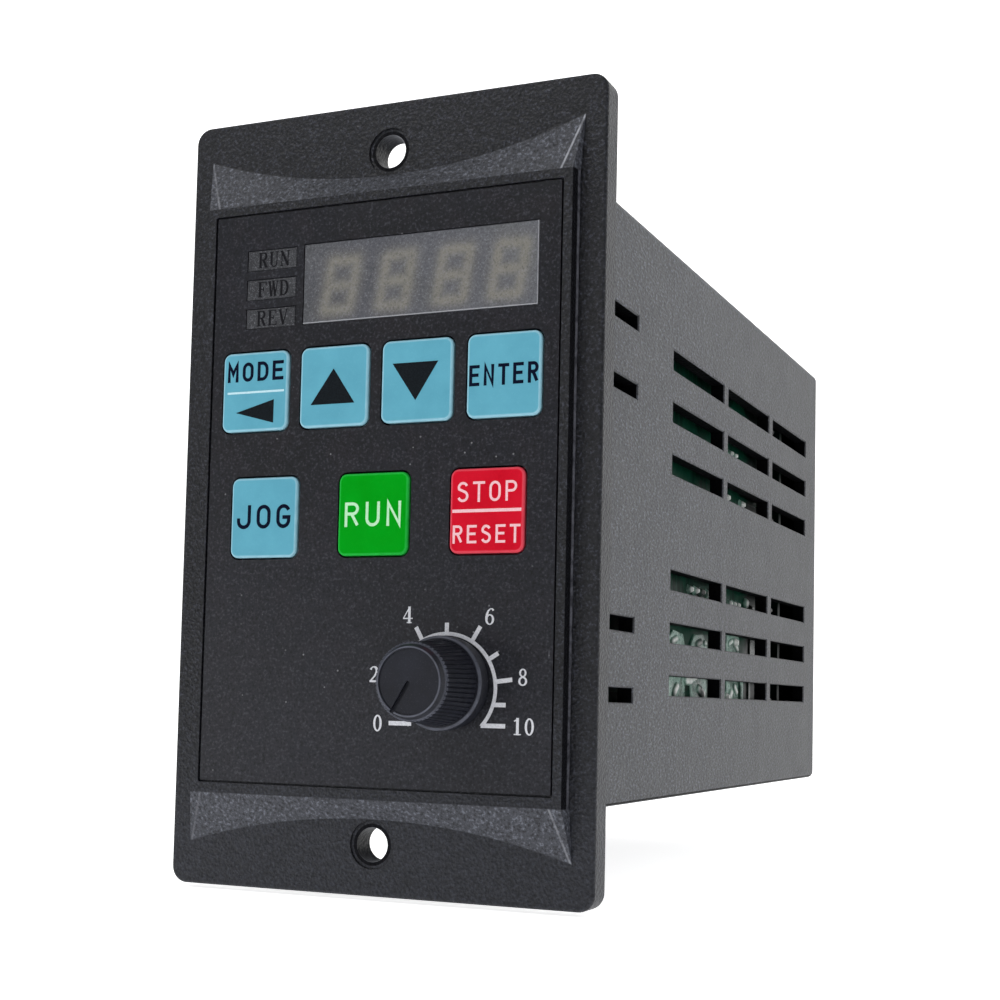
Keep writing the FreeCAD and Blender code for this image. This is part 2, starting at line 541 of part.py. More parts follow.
# common-mode choke
CY, CZ = 93.5, -21.5
core = cyl_x(9.6, CY, CZ, 10.5, 19.0).cut(cyl_x(5.6, CY, CZ, 9, 20))
export(core, "choke_core")
turns = []
for side in (0, 180):
    for i in range(9):
        a = side - 60 + i * 15
        t = box(9.5, 20.0, CY + 4.5, CY + 10.7, CZ - 0.5, CZ + 0.5).cut(
            box(10.4, 19.1, CY + 5.4, CY + 9.8, CZ - 1, CZ + 1))
        t.rotate(V(0, CY, CZ), V(1, 0, 0), a)
        turns.append(t)
export(group(turns), "choke_windings")

ec = box(6.4, PP_X0, 95.2, 103.2, -5.5, 12.5)
ec = chamfer_try(ec, [e for e in ec.Edges if e.BoundBox.XLength > 12], 0.4)
export(ec, "emi_capacitor")


def disc(y0, y1, x, z, r):
    d = cyl_y(r, x, z, y0, y1)
    d = fillet_try(d, d.Edges[0:0] + front_edges(d, y0) + front_edges(d, y1), 0.9)
    ym = (y0 + y1) / 2
    leads = [cyl_x(0.4, ym, z + dz, x, PP_X0) for dz in (-3.0, 3.0)]
    return d.fuse(leads)


export(disc(86.5, 90.9, 13.0, 6.0, 7.0), "varistor")
export(disc(76.5, 81.0, 13.4, 6.0, 6.6), "inrush_thermistor")

fs = cyl_z(2.5, 16.6, 77.5, -27.5, -7.5)
fs = fs.fuse([cyl_z(2.65, 16.6, 77.5, -27.5, -22.5), cyl_z(2.65, 16.6, 77.5, -12.5, -7.5)])
export(fs, "fuse")
clips = []
for z0, z1 in ((-26.0, -24.0), (-11.0, -9.0)):
    c = box(13.6, PP_X0, 77.5 - 3.4, 77.5 + 3.4, z0, z1).cut([
        cyl_z(2.7, 16.6, 77.5, z0 - 1, z1 + 1), box(13, 16.0, 77.5 - 1.9, 77.5 + 1.9, z0 - 1, z1 + 1),
        box(19.9, 21.0, 77.5 - 2.6, 77.5 + 2.6, z0 - 1, z1 + 1)])
    clips.append(c)
export(group(clips), "fuse_clips")

rl = box(6.2, PP_X0, 24.0, 43.0, -35.6, -20.1)
rl = fillet_try(rl, [e for e in rl.Edges if e.BoundBox.XLength > 12], 0.6)
export(rl, "precharge_relay")

# switch-mode transformer: ferrite core with a centre leg through the wound bobbin
tcore = box(5.5, 18.6, 28.0, 36.0, -13.0, 7.0).cut([
    box(7.7, 10.2, 27, 37, -10.5, 4.5), box(13.9, 16.4, 27, 37, -10.5, 4.5)])
export(tcore, "transformer_core")
bob = box(7.8, 16.3, 23.5, 40.5, -10.4, 4.4).cut(box(10.1, 14.0, 27.9, 36.1, -11, 5))
bob = bob.fuse([box(16.2, 19.2, 23.5, 27.6, -10.4, 4.4), box(16.2, 19.2, 36.4, 40.5, -10.4, 4.4),
                box(18.9, PP_X0, 23.5, 40.5, -12.0, 6.0)]).removeSplitter()
export(bob, "transformer_bobbin")

sc = [can(27.0, 14.0, 4.0, 12.0), can(38.0, 14.0, 4.0, 12.0), can(47.5, -32.3, 3.2, 11.5),
      can(56.5, -32.4, 3.2, 11.5), can(75.0, -32.5, 2.6, 11.5), can(82.5, 17.0, 3.2, 11.5)]
export(group(sc), "small_capacitors")

ics = [box(18.6, PP_X0, 66.0, 70.6, -35.5, -30.0), box(17.9, PP_X0, 44.5, 48.6, -4.0, 4.0),
       box(17.9, PP_X0, 44.5, 48.6, -18.0, -8.0), box(19.0, PP_X0, 20.0, 22.8, 18.0, 22.0),
       box(18.6, PP_X0, 91.5, 101.0, 15.5, 20.5)]
export(group(ics), "power_board_ics")

# soldered joints on the outer side of the power board, one under each lead, plus tinned areas
PADS = []


def joint(y, z, r=0.95, h=0.95, x=PP_X1):
    """Soldered joint: a small dome of solder drawn up the clipped lead."""
    foot = Part.makeCone(r, r * 0.72, h * 0.35, V(x, y, z), V(1, 0, 0))
    neck = Part.makeCone(r * 0.72, r * 0.34, h * 0.65, V(x + h * 0.35, y, z), V(1, 0, 0))
    PADS.append(foot.fuse(neck).removeSplitter())


def tinned(pts, h=0.28):
    """Tinned copper area of the power board, given as (y, z) corners."""
    f = poly_face([(PP_X1, y, z) for y, z in pts]).extrude(V(h, 0, 0))
    f = f.removeSplitter()
    f = chamfer_try(f, [e for e in f.Edges if abs(e.BoundBox.XMin - PP_X1 - h) < 1e-4
                        and abs(e.BoundBox.XMax - PP_X1 - h) < 1e-4], 0.12)
    PADS.append(f)


def blob(y, z, ly, d, turn=0.0):
    """Heap of solder: half a capsule lying on the board, ly long and d wide, turned by so many degrees."""
    r = d / 2
    half = max(0.05, ly / 2 - r)
    c = Part.makeCylinder(r, 2 * half, V(PP_X1, y - half, z), V(0, 1, 0))
    c = c.fuse([Part.makeSphere(r, V(PP_X1, y - half, z)), Part.makeSphere(r, V(PP_X1, y + half, z))])
    c.rotate(V(PP_X1, y, z), V(1, 0, 0), turn)
    c = c.common(box(PP_X1, PP_X1 + 3, y - ly, y + ly, z - ly, z + ly)).removeSplitter()
    PADS.append(c)


# tinned high-current areas
tinned([(47.2, -27.2), (55.4, -27.2), (56.2, -25.6), (56.2, -17.6), (54.8, -15.4), (49.6, -15.0), (47.2, -16.6)])
tinned([(59.4, -27.0), (67.0, -27.4), (68.4, -26.0), (68.4, -17.0), (66.2, -14.9), (61.2, -15.2), (59.4, -16.8)])
tinned([(80.6, -26.4), (87.4, -26.4), (88.2, -25.4), (88.2, -22.6), (86.8, -21.8), (80.6, -21.8)])
tinned([(80.2, -18.0), (88.0, -18.0), (88.6, -17.2), (88.6, -14.6), (87.6, -13.8), (80.2, -13.8)])
tinned([(90.3, -27.0), (91.7, -27.0), (91.7, -20.4), (90.3, -20.4)])
tinned([(95.3, -27.0), (96.7, -27.0), (96.7, -20.4), (95.3, -20.4)])
tinned([(30.0, -24.0), (44.0, -24.0), (44.0, -19.0), (30.0, -19.0)])
tinned([(96.0, -17.6), (104.6, -17.6), (104.6, -14.4), (96.0, -14.4)])
# heaps of solder
blob(57.7, -22.7, 4.0, 1.5)
blob(50.8, -24.2, 3.2, 1.5, 35)
blob(53.8, -21.6, 2.6, 1.2, -30)
blob(49.9, -16.6, 3.6, 1.3, 12)
blob(64.6, -24.3, 3.8, 1.7, -22)
blob(62.0, -20.4, 2.8, 1.4, 60)
blob(66.4, -20.9, 2.4, 1.3, -48)
blob(63.4, -16.5, 3.2, 1.3, 14)
blob(66.9, -16.4, 1.8, 1.2)
blob(82.6, -24.6, 2.8, 1.5, 40)
blob(85.9, -23.6, 3.0, 1.4, -35)
blob(82.4, -15.6, 3.0, 1.2, 18)
blob(86.2, -16.3, 2.6, 1.3, -25)
blob(92.9, -8.2, 2.0, 1.6, 50)
# four in a row under the driver transformer, and the pair of rows beside the fuse
for y in (58.0, 61.2, 64.6, 68.1):
    joint(y, -8.2, 0.85, 0.95)
for y in (81.6, 84.2, 86.8, 95.5):
    joint(y, -8.9, 0.8, 0.9)
for y in [52.5 + 2.54 * i for i in range(13)]:
    joint(y, 23.7, 0.85, 1.0)
for y in (28.0, 33.0, 38.0, 42.5):
    joint(y, 24.2, 1.15, 1.1)
for z0 in (7.5, -17.0):
    joint(60.0, z0 - 5, 1.25, 1.1)
    joint(60.0, z0 + 5, 1.25, 1.1)
for i in range(12):
    z = -11 + 2.0 * i
    joint(16.6, z, 0.7, 0.95)
for y in (26.4, 40.6):
    for z in (-33.4, -28.0, -22.6):
        joint(y, z, 1.05, 1.05)
for y in (24.6, 29.5, 34.5, 39.4):
    joint(y, -11.3, 0.95, 1.05)
    joint(y, 5.3, 0.95, 1.05)
for s in (-1, 1):
    for d in (-6, 6):
        joint(CY + s * 8.5, CZ + d, 1.2, 1.1)
for y, z in ((99.2, -3.5), (99.2, 10.8), (88.7, 3.0), (88.7, 9.0), (78.7, 3.0), (78.7, 9.0)):
    joint(y, z, 1.0, 1.05)
for z in (-25.0, -10.0):
    joint(75.1, z, 1.1, 1.05)
    joint(79.9, z, 1.1, 1.05)
for y, z in ((27, 14), (38, 14), (47.5, -32.3), (56.5, -32.4), (75, -32.5), (82.5, 17.0)):
    joint(y - 1.4, z, 0.75, 0.9)
    joint(y + 1.4, z, 0.75, 0.9)
for i in range(10):
    joint(108.8, -25.2 + 5.6 * i, 0.95, 1.05)
pads = PADS[0].fuse(PADS[1:])
export(pads, "solder_joints")

# ------------------------------------------------------------------ terminal board and blocks
export(box(-22.0, PP_X1 + 1.4, TP_Y0, TP_Y1, -35.0, 35.0), "terminal_pcb")
export(box(16.4, PP_X0, 106.0, TP_Y0, -29.0, 29.0), "terminal_pcb_header")


def terminal_block(xr, n, pitch, zh, r_screw, xs, entry, xe):
    """Block with screws and wire entries both facing rearwards; one row along Z."""
    b = box(xr[0], xr[1], TP_Y1, TB_FACE, -zh, zh)
    b = chamfer_try(b, front_edges(b, TB_FACE), 0.4)
    cuts, screws = [], []
    for i in range(n):
        z = (i - (n - 1) / 2.0) * pitch
        cuts.append(cyl_y(r_screw + 0.1, xs, z, TB_FACE - 9.0, TB_FACE + 1))
        cuts.append(rrect_y(xe - entry[0] / 2, xe + entry[0] / 2, z - entry[1] / 2, z + entry[1] / 2,
                            TB_FACE - 9.0, TB_FACE + 1, 0.3))
        s = cyl_y(r_screw, xs, z, TB_FACE - 8.0, TB_FACE - 3.2)
        s = s.cut(box(xs - r_screw - 1, xs + r_screw + 1, TB_FACE - 4.1, TB_FACE - 3, z - 0.3, z + 0.3))
        screws.append(s)
        if i < n - 1:
            zz = z + pitch / 2
            cuts.append(box(xr[0] - 1, xr[1] + 1, TB_FACE - 0.7, TB_FACE + 1, zz - 0.25, zz + 0.25))
    return b.cut(cuts), group(screws)


b, s = terminal_block(PTB_X, PTB_N, PTB_P, PTB_Z, 1.8, 16.4, (3.8, 3.8), 9.6)
export(b, "power_terminal_block")
export(s, "power_terminal_screws")
b, s = terminal_block(CTB_X, CTB_N, CTB_P, CTB_Z, 1.25, -10.9, (2.8, 2.8), -15.6)
export(b, "control_terminal_block")
export(s, "control_terminal_screws")
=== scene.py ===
import bpy
import math
import random
import numpy as np
from mathutils import Matrix, Vector
from mathutils.geometry import delaunay_2d_cdt


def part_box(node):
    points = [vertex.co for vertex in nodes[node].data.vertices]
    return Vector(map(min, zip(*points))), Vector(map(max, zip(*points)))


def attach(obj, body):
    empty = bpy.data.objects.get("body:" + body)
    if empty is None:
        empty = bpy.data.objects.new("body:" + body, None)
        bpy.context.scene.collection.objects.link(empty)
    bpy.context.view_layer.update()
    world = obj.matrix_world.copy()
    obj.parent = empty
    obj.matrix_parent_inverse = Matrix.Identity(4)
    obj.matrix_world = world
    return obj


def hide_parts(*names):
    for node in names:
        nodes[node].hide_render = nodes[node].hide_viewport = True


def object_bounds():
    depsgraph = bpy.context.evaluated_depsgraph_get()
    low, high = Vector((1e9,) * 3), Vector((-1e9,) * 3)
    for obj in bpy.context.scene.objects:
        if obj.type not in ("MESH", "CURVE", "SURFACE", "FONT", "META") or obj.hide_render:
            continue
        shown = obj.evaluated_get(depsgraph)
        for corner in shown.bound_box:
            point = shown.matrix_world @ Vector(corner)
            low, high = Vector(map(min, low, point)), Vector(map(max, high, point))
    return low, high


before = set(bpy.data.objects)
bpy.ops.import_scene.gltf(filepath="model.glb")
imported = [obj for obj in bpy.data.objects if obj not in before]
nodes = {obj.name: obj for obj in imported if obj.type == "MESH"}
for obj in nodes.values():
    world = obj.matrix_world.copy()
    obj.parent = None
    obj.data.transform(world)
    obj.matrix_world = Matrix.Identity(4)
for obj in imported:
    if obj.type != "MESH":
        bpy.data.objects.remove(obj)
SIZE_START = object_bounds()
MM = 0.001
random.seed(11)


# ====================================================================== materials
def lin(r, g, b):
    """sRGB 0-255 to linear colour."""
    out = []
    for v in (r, g, b):
        c = v / 255.0
        out.append(c / 12.92 if c <= 0.04045 else ((c + 0.055) / 1.055) ** 2.4)
    return (out[0], out[1], out[2], 1.0)


def rgba(c):
    return tuple(c) if len(c) == 4 else (c[0], c[1], c[2], 1.0)


class Mat:
    """A principled material whose colour, roughness and relief come from procedural nodes.
    Sizes are given in millimetres; the pattern is laid in the piece's own coordinates."""

    def __init__(self, name, ior=1.5, spec=0.5, metal=0.0):
        self.m = bpy.data.materials.new(name)
        self.m.use_nodes = True
        self.nt = self.m.node_tree
        self.nt.nodes.clear()
        self.out = self.nt.nodes.new("ShaderNodeOutputMaterial")
        self.b = self.nt.nodes.new("ShaderNodeBsdfPrincipled")
        self.nt.links.new(self.b.outputs[0], self.out.inputs[0])
        self.b.inputs["IOR"].default_value = ior
        self.b.inputs["Specular IOR Level"].default_value = spec
        self.b.inputs["Metallic"].default_value = metal
        self.tc = self.nt.nodes.new("ShaderNodeTexCoord")
        self.vec = self.tc.outputs["Object"]
        self.last_bump = None

    def new(self, kind, **kw):
        n = self.nt.nodes.new(kind)
        for k, v in kw.items():
            setattr(n, k, v)
        return n

    def link(self, a, b):
        self.nt.links.new(a, b)

    def put(self, socket, v):
        if isinstance(v, (int, float)):
            socket.default_value = v
        elif isinstance(v, (tuple, list)):
            socket.default_value = rgba(v)
        else:
            self.link(v, socket)

    def stretch(self, sx, sy, sz, shift=(0, 0, 0)):
        mp = self.new("ShaderNodeMapping")
        mp.inputs["Scale"].default_value = (sx, sy, sz)
        mp.inputs["Location"].default_value = shift
        self.link(self.vec, mp.inputs["Vector"])
        return mp.outputs[0]

    def noise(self, mm, detail=2.0, rough=0.5, vec=None, dist=0.0):
        n = self.new("ShaderNodeTexNoise")
        n.inputs["Scale"].default_value = 1000.0 / mm
        n.inputs["Detail"].default_value = detail
        n.inputs["Roughness"].default_value = rough
        n.inputs["Distortion"].default_value = dist
        self.link(vec or self.vec, n.inputs["Vector"])
        return n.outputs["Fac"]

    def cells(self, mm, feature="F1", vec=None, smooth=None, rnd=1.0):
        n = self.new("ShaderNodeTexVoronoi", feature=feature)
        n.inputs["Scale"].default_value = 1000.0 / mm
        n.inputs["Randomness"].default_value = rnd
        if smooth is not None and "Smoothness" in n.inputs:
            n.inputs["Smoothness"].default_value = smooth
        self.link(vec or self.vec, n.inputs["Vector"])
        return n.outputs["Distance"]

    def wave(self, mm, direction="X", dist=0.0, vec=None, profile="SIN"):
        n = self.new("ShaderNodeTexWave", wave_type="BANDS", bands_direction=direction, wave_profile=profile)
        n.inputs["Scale"].default_value = 1000.0 / mm / 20.0 * math.pi * 2
        n.inputs["Distortion"].default_value = dist
        self.link(vec or self.vec, n.inputs["Vector"])
        return n.outputs["Fac"]

    def span(self, v, a, b, c=0.0, d=1.0, smooth=False):
        n = self.new("ShaderNodeMapRange")
        if smooth:
            n.interpolation_type = "SMOOTHSTEP"
        n.inputs["From Min"].default_value = a
        n.inputs["From Max"].default_value = b
        n.inputs["To Min"].default_value = c
        n.inputs["To Max"].default_value = d
        self.put(n.inputs["Value"], v)
        return n.outputs["Result"]

    def math(self, op, a, b=None):
        n = self.new("ShaderNodeMath", operation=op)
        self.put(n.inputs[0], a)
        if b is not None:
            self.put(n.inputs[1], b)
        return n.outputs[0]

    def mix(self, f, c0, c1, blend="MIX"):
        n = self.new("ShaderNodeMix", data_type="RGBA", blend_type=blend)
        self.put(n.inputs[0], f)
        self.put(n.inputs[6], c0)
        self.put(n.inputs[7], c1)
        return n.outputs[2]

    def xyz(self):
        n = self.new("ShaderNodeSeparateXYZ")
        self.link(self.vec, n.inputs[0])
        return n.outputs

    def attr(self, name):
        n = self.new("ShaderNodeAttribute", attribute_name=name, attribute_type="GEOMETRY")
        return n.outputs["Fac"]

    def bump(self, height, mm, strength=1.0):
        n = self.new("ShaderNodeBump")
        n.inputs["Distance"].default_value = mm * MM
        n.inputs["Strength"].default_value = strength
        self.put(n.inputs["Height"], height)
        if self.last_bump is not None:
            self.link(self.last_bump, n.inputs["Normal"])
        self.last_bump = n.outputs[0]
        self.link(self.last_bump, self.b.inputs["Normal"])

    def colour(self, c):
        self.put(self.b.inputs["Base Color"], c)

    def rough(self, v):
        self.put(self.b.inputs["Roughness"], v)


def grainy(name, c0, c1, grain=0.4, patch=9.0, r=(0.4, 0.55), bump=0.01, ior=1.5, spec=0.5, metal=0.0,
           coat=0.0, smear=0.0):
    """Moulded, painted or cast finish: slow colour drift, fine grain and slight relief."""
    k = Mat(name, ior, spec, metal)
    slow = k.noise(patch, 3.0, 0.6)
    fine = k.noise(grain, 2.0, 0.6)
    f = k.math("ADD", k.math("MULTIPLY", slow, 0.6), k.math("MULTIPLY", fine, 0.4))
    k.colour(k.mix(k.span(f, 0.3, 0.7), c0, c1))
    k.rough(k.span(k.noise(patch * 0.6, 4.0, 0.65, dist=smear), 0.3, 0.7, r[0], r[1]))
    if bump:
        k.bump(fine, bump)
    if coat:
        k.b.inputs["Coat Weight"].default_value = coat
        k.b.inputs["Coat Roughness"].default_value = 0.15
    return k


def sparked(name, c0, c1, spec=0.5, r=(0.5, 0.62), cell=0.55, depth=0.022, speck=0.35, dust=0.0, along=1.0,
            painted_case_shade=False, rings_and_painted_light=False):
    """Black moulded plastic with the pitted finish of a spark-eroded mould.
    painted_case_shade: painted shade, the walls inside the slots painted near black and dull and the side painted
    darker towards the back, with a dark line along the front edge at the joint with the bezel. rings_and_painted_light:
    the smooth ring round each mounting hole, darker and less glossy, and painted light and shade on the bezel's lower
    flange, sloping ends, plateau side and hole bores."""
    k = Mat(name, 1.5, spec)
    v = k.stretch(1.0, along, 1.0)
    slow = k.noise(16.0, 4.0, 0.6)
    pits = k.cells(cell, "SMOOTH_F1", smooth=0.6, vec=v)
    fine = k.noise(cell * 0.85, 2.0, 0.6, vec=v)
    mid = k.noise(cell * 1.7, 2.0, 0.55, vec=v)
    base = k.mix(k.span(slow, 0.2, 0.8, 0.25, 0.75), c0, c1)
    base = k.mix(k.span(fine, 0.53, 0.70, 0.0, speck, True), base, (c1[0] * 3.1, c1[1] * 3.1, c1[2] * 3.2, 1))
    base = k.mix(k.span(fine, 0.47, 0.32, 0.0, speck, True), base, (c0[0] * 0.35, c0[1] * 0.35, c0[2] * 0.38, 1))
    if dust:
        d = k.math("MULTIPLY", k.span(k.cells(2.3), 0.075, 0.03, 0.0, 1.0, True),
                   k.span(k.noise(6.0, 2.0), 0.5, 0.62, 0.0, dust, True))
        base = k.mix(d, base, (0.16, 0.16, 0.17, 1))
    level = spec
    if painted_case_shade:
        x, y, z = k.xyz()
        m = k.math("MULTIPLY", k.span(k.math("ABSOLUTE", x), 0.02698, 0.02690),
                   k.span(k.math("ABSOLUTE", z), 0.0400, 0.0399))
        m = k.math("MULTIPLY", m, k.span(y, 0.1314, 0.1313))
        # painted shade: the side is painted darker towards the back
        base = k.mix(k.math("MULTIPLY", k.span(y, 0.125, 0.04, 1.0, 0.0), 0.45), base, lin(17, 18, 21))
        # a dark line along the front edge, at the joint with the bezel
        base = k.mix(k.span(y, 0.00042, 0.00022, 0.0, 0.8), base, lin(10, 10, 13))
        # painted shade: the walls inside the slots (mask m) are painted near black, with little specular
        base = k.mix(m, base, lin(7, 7, 9))
        level = k.span(m, 0.0, 1.0, spec, 0.02)
    if rings_and_painted_light:
        x, y, z = k.xyz()
        ax, az = k.math("ABSOLUTE", x), k.math("ABSOLUTE", z)
        # painted light: the lower part of the bezel is painted paler
        base = k.mix(k.math("MULTIPLY", k.span(z, -0.022, -0.048, 0.0, 0.55, True), k.span(fine, 0.36, 0.6, 0.45, 1.0)),
                     base, lin(44, 46, 54))
        # the sloping ends are pitted more coarsely; a painted sheen makes them paler, with painted glints among the
        # pits and a painted highlight along their ridges
        slope = k.math("MULTIPLY", k.span(az, 0.03955, 0.03970), k.span(y, -0.003725, -0.00378))
        coarse = k.noise(0.44, 2.0, 0.65, vec=v)
        base = k.mix(k.math("MULTIPLY", slope, k.span(z, -0.01, 0.01, 0.46, 0.38)), base, lin(82, 84, 92))
        glint = k.math("MULTIPLY", slope, k.span(coarse, 0.52, 0.70, 0.0, 0.60, True))
        base = k.mix(glint, base, lin(116, 120, 131))
        pit = k.math("MULTIPLY", slope, k.span(coarse, 0.47, 0.34, 0.0, 0.75, True))
        base = k.mix(pit, base, lin(22, 23, 27))
        # painted highlight along the ridges, stronger towards the top and the right
        line = k.math("ADD", k.math("MULTIPLY", k.math("SUBTRACT", az, 0.0396), 0.345), 0.0250)
        off = k.math("ABSOLUTE", k.math("SUBTRACT", ax, line))
        ridge_highlight = k.math("MULTIPLY", k.span(off, 0.00022, 0.00006, 0.0, 1.0, True), slope)
        ridge_highlight = k.math("MULTIPLY", ridge_highlight, k.span(k.noise(1.4, 2.0), 0.3, 0.6, 0.35, 1.0))
        base = k.mix(k.math("MULTIPLY", ridge_highlight, k.math("MULTIPLY", k.span(z, -0.01, 0.01, 0.35, 0.7), k.span(x, -0.02, 0.02, 0.35, 1.0))), base, lin(176, 178, 186))
        # the plateau's side wall: painted shade, dark and dull, with a painted highlight along its foot
        side = k.math("MULTIPLY", k.span(ax, 0.026595, 0.02662), k.span(az, 0.03965, 0.03955))
        side = k.math("MULTIPLY", side, k.span(y, -0.003725, -0.00378))
        base = k.mix(k.math("MULTIPLY", side, 0.8), base, lin(9, 9, 12))
        foot = k.math("MULTIPLY", k.span(y, -0.00450, -0.00428, 0.0, 1.0, True), k.span(y, -0.00378, -0.00392, 0.0, 1.0, True))
        foot = k.math("MULTIPLY", k.math("MULTIPLY", foot, side), k.span(k.noise(1.1, 2.0), 0.3, 0.65, 0.35, 1.0))
        base = k.mix(k.math("MULTIPLY", foot, 0.6), base, lin(112, 113, 122))
        # the smooth rings round the mounting holes, darker and less glossy, each with a fine dark line round it; the
        # hole walls carry painted light and shade, dark on one side and pale on the other
        dz = k.math("SUBTRACT", az, 0.0454)
        rr = k.math("SQRT", k.math("ADD", k.math("MULTIPLY", x, x), k.math("MULTIPLY", dz, dz)))
        ring = k.span(rr, 0.00275, 0.00262, 0.0, 1.0, True)
        wall = k.span(rr, 0.00224, 0.00221)
        lip = k.math("MULTIPLY", k.span(rr, 0.00300, 0.00308, 0.0, 1.0, True), k.span(rr, 0.00322, 0.00314, 0.0, 1.0, True))
        base = k.mix(k.math("MULTIPLY", ring, 0.85), base, lin(9, 9, 12))
        base = k.mix(k.math("MULTIPLY", lip, 0.55), base, lin(11, 11, 14))
        base = k.mix(wall, base, k.mix(k.span(x, -0.0022, 0.0022), lin(8, 8, 11), lin(140, 142, 148)))
        level = k.span(k.math("ADD", k.math("SUBTRACT", ring, wall), side), 0.0, 1.0, spec, 0.05)
    if level is not spec:
        k.link(level, k.b.inputs["Specular IOR Level"])
    k.colour(base)
    k.rough(k.span(k.noise(5.0, 2.0, 0.5), 0.25, 0.75, r[0], r[1]))
    h = k.math("ADD", k.math("MULTIPLY", pits, 0.7), k.math("MULTIPLY", fine, 0.8))
    h = k.math("ADD", h, k.math("MULTIPLY", mid, 0.5))
    k.bump(h, depth)
    return k


M = {}
M["case"] = sparked("case_black", lin(32, 34, 39), lin(42, 44, 50), spec=0.36, r=(0.50, 0.54), cell=0.40, depth=0.11,
                    speck=1.0, dust=0.25, along=0.45, painted_case_shade=True).m
M["bezel"] = sparked("bezel_black", lin(17, 18, 22), lin(25, 26, 31), spec=0.27, r=(0.42, 0.48), cell=0.42, depth=0.12,
                     speck=1.0, dust=0.35, rings_and_painted_light=True).m


def overlay_film():
    k = Mat("overlay_film", 1.5, 0.24)
    slow = k.noise(22.0, 4.0, 0.6)
    fine = k.noise(0.36, 2.0, 0.65)
    base = k.mix(k.span(slow, 0.3, 0.7), lin(17, 18, 22), lin(23, 24, 31))
    base = k.mix(k.span(k.noise(3.2, 2.0, 0.55), 0.42, 0.66, 0.0, 0.30, True), base, lin(32, 28, 33))
    # painted light: the film is painted paler towards the bottom
    base = k.mix(k.span(k.xyz()[2], 0.012, -0.036, 0.0, 0.45, True), base, lin(36, 37, 44))
    base = k.mix(k.span(fine, 0.52, 0.72, 0.0, 0.62, True), base, lin(62, 63, 70))
    base = k.mix(k.span(fine, 0.46, 0.32, 0.0, 0.7, True), base, lin(5, 5, 7))
    # settled dust: scattered light specks, and a few hair scratches
    specks = k.math("MULTIPLY", k.span(k.cells(1.9), 0.085, 0.04, 0.0, 1.0, True),
                    k.span(k.noise(7.0, 3.0, 0.6), 0.46, 0.60, 0.0, 0.8, True))
    base = k.mix(specks, base, lin(128, 128, 132))
    hairs_v = k.stretch(1.0, 1.0, 0.10)
    hair = k.math("MULTIPLY", k.span(k.cells(2.6, vec=hairs_v), 0.034, 0.018, 0.0, 1.0, True),
                  k.span(k.noise(9.0, 2.0), 0.50, 0.60, 0.0, 0.5, True))
    base = k.mix(hair, base, lin(110, 110, 118))
    k.colour(base)
    k.rough(k.span(k.noise(4.0, 3.0, 0.6), 0.3, 0.7, 0.40, 0.47))
    k.bump(k.math("ADD", fine, k.math("MULTIPLY", k.noise(0.9, 2.0), 0.5)), 0.022)
    return k.m


M["overlay"] = overlay_film()


def key_plastic(node, c0, c1, spec, rim_highlight, rim_highlight_amount):
    """Key cap: even colour on the face; a painted highlight makes the rounded edge and the side walls paler."""
    k = Mat(node + "_plastic", 1.46, spec)
    a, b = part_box(node)
    cx, cz = (a.x + b.x) / 2, (a.z + b.z) / 2
    hw, hh, r = 0.00505, 0.00535, 0.0011          # the cap's front, inside its retaining lip
    slow = k.noise(5.0, 3.0, 0.6)
    fine = k.noise(0.22, 2.0, 0.6)
    base = k.mix(k.span(slow, 0.3, 0.7), c0, c1)
    base = k.mix(k.span(fine, 0.55, 0.75, 0.0, 0.16, True), base,
                 (min(1, c1[0] * 1.5 + 0.02), min(1, c1[1] * 1.25), min(1, c1[2] * 1.2), 1))
    x, y, z = k.xyz()
    qx = k.math("SUBTRACT", k.math("ABSOLUTE", k.math("SUBTRACT", x, cx)), hw - r)
    qz = k.math("SUBTRACT", k.math("ABSOLUTE", k.math("SUBTRACT", z, cz)), hh - r)
    mx, mz = k.math("MAXIMUM", qx, 0.0), k.math("MAXIMUM", qz, 0.0)
    d = k.math("SQRT", k.math("ADD", k.math("MULTIPLY", mx, mx), k.math("MULTIPLY", mz, mz)))
    d = k.math("SUBTRACT", k.math("ADD", d, k.math("MINIMUM", k.math("MAXIMUM", qx, qz), 0.0)), r)
    # painted highlight: paler colour on the rounded edge and down the side walls
    edge = k.math("MULTIPLY", k.span(d, -0.00040, -0.00020, 0.0, rim_highlight_amount, True),
                  k.span(k.noise(1.2, 2.0), 0.2, 0.7, 0.6, 1.0))
    k.colour(k.mix(edge, base, rim_highlight))
    k.rough(k.span(k.noise(2.5, 3.0, 0.6), 0.3, 0.7, 0.42, 0.54))
    k.bump(fine, 0.006)
    return k.m


for n in ("mode_key", "up_key", "down_key", "enter_key", "jog_key"):
    M[n] = key_plastic(n, lin(86, 154, 175), lin(93, 163, 184), 0.12, lin(158, 200, 214), 0.75)
M["run_key"] = key_plastic("run_key", lin(0, 143, 16), lin(0, 152, 24), 0.03, lin(48, 184, 80), 0.65)
M["stop_reset_key"] = key_plastic("stop_reset_key", lin(190, 10, 34), lin(201, 18, 42), 0.05, lin(226, 92, 108), 0.65)


def ink(name, c0, c1, spec=0.25, r=(0.42, 0.55)):
    k = Mat(name, 1.46, spec)
    fine = k.noise(0.18, 3.0, 0.7)
    k.colour(k.mix(k.span(fine, 0.35, 0.68), c0, c1))
    k.rough(k.span(k.noise(1.1, 2.0), 0.3, 0.7, r[0], r[1]))
    k.bump(fine, 0.003)
    return k.m


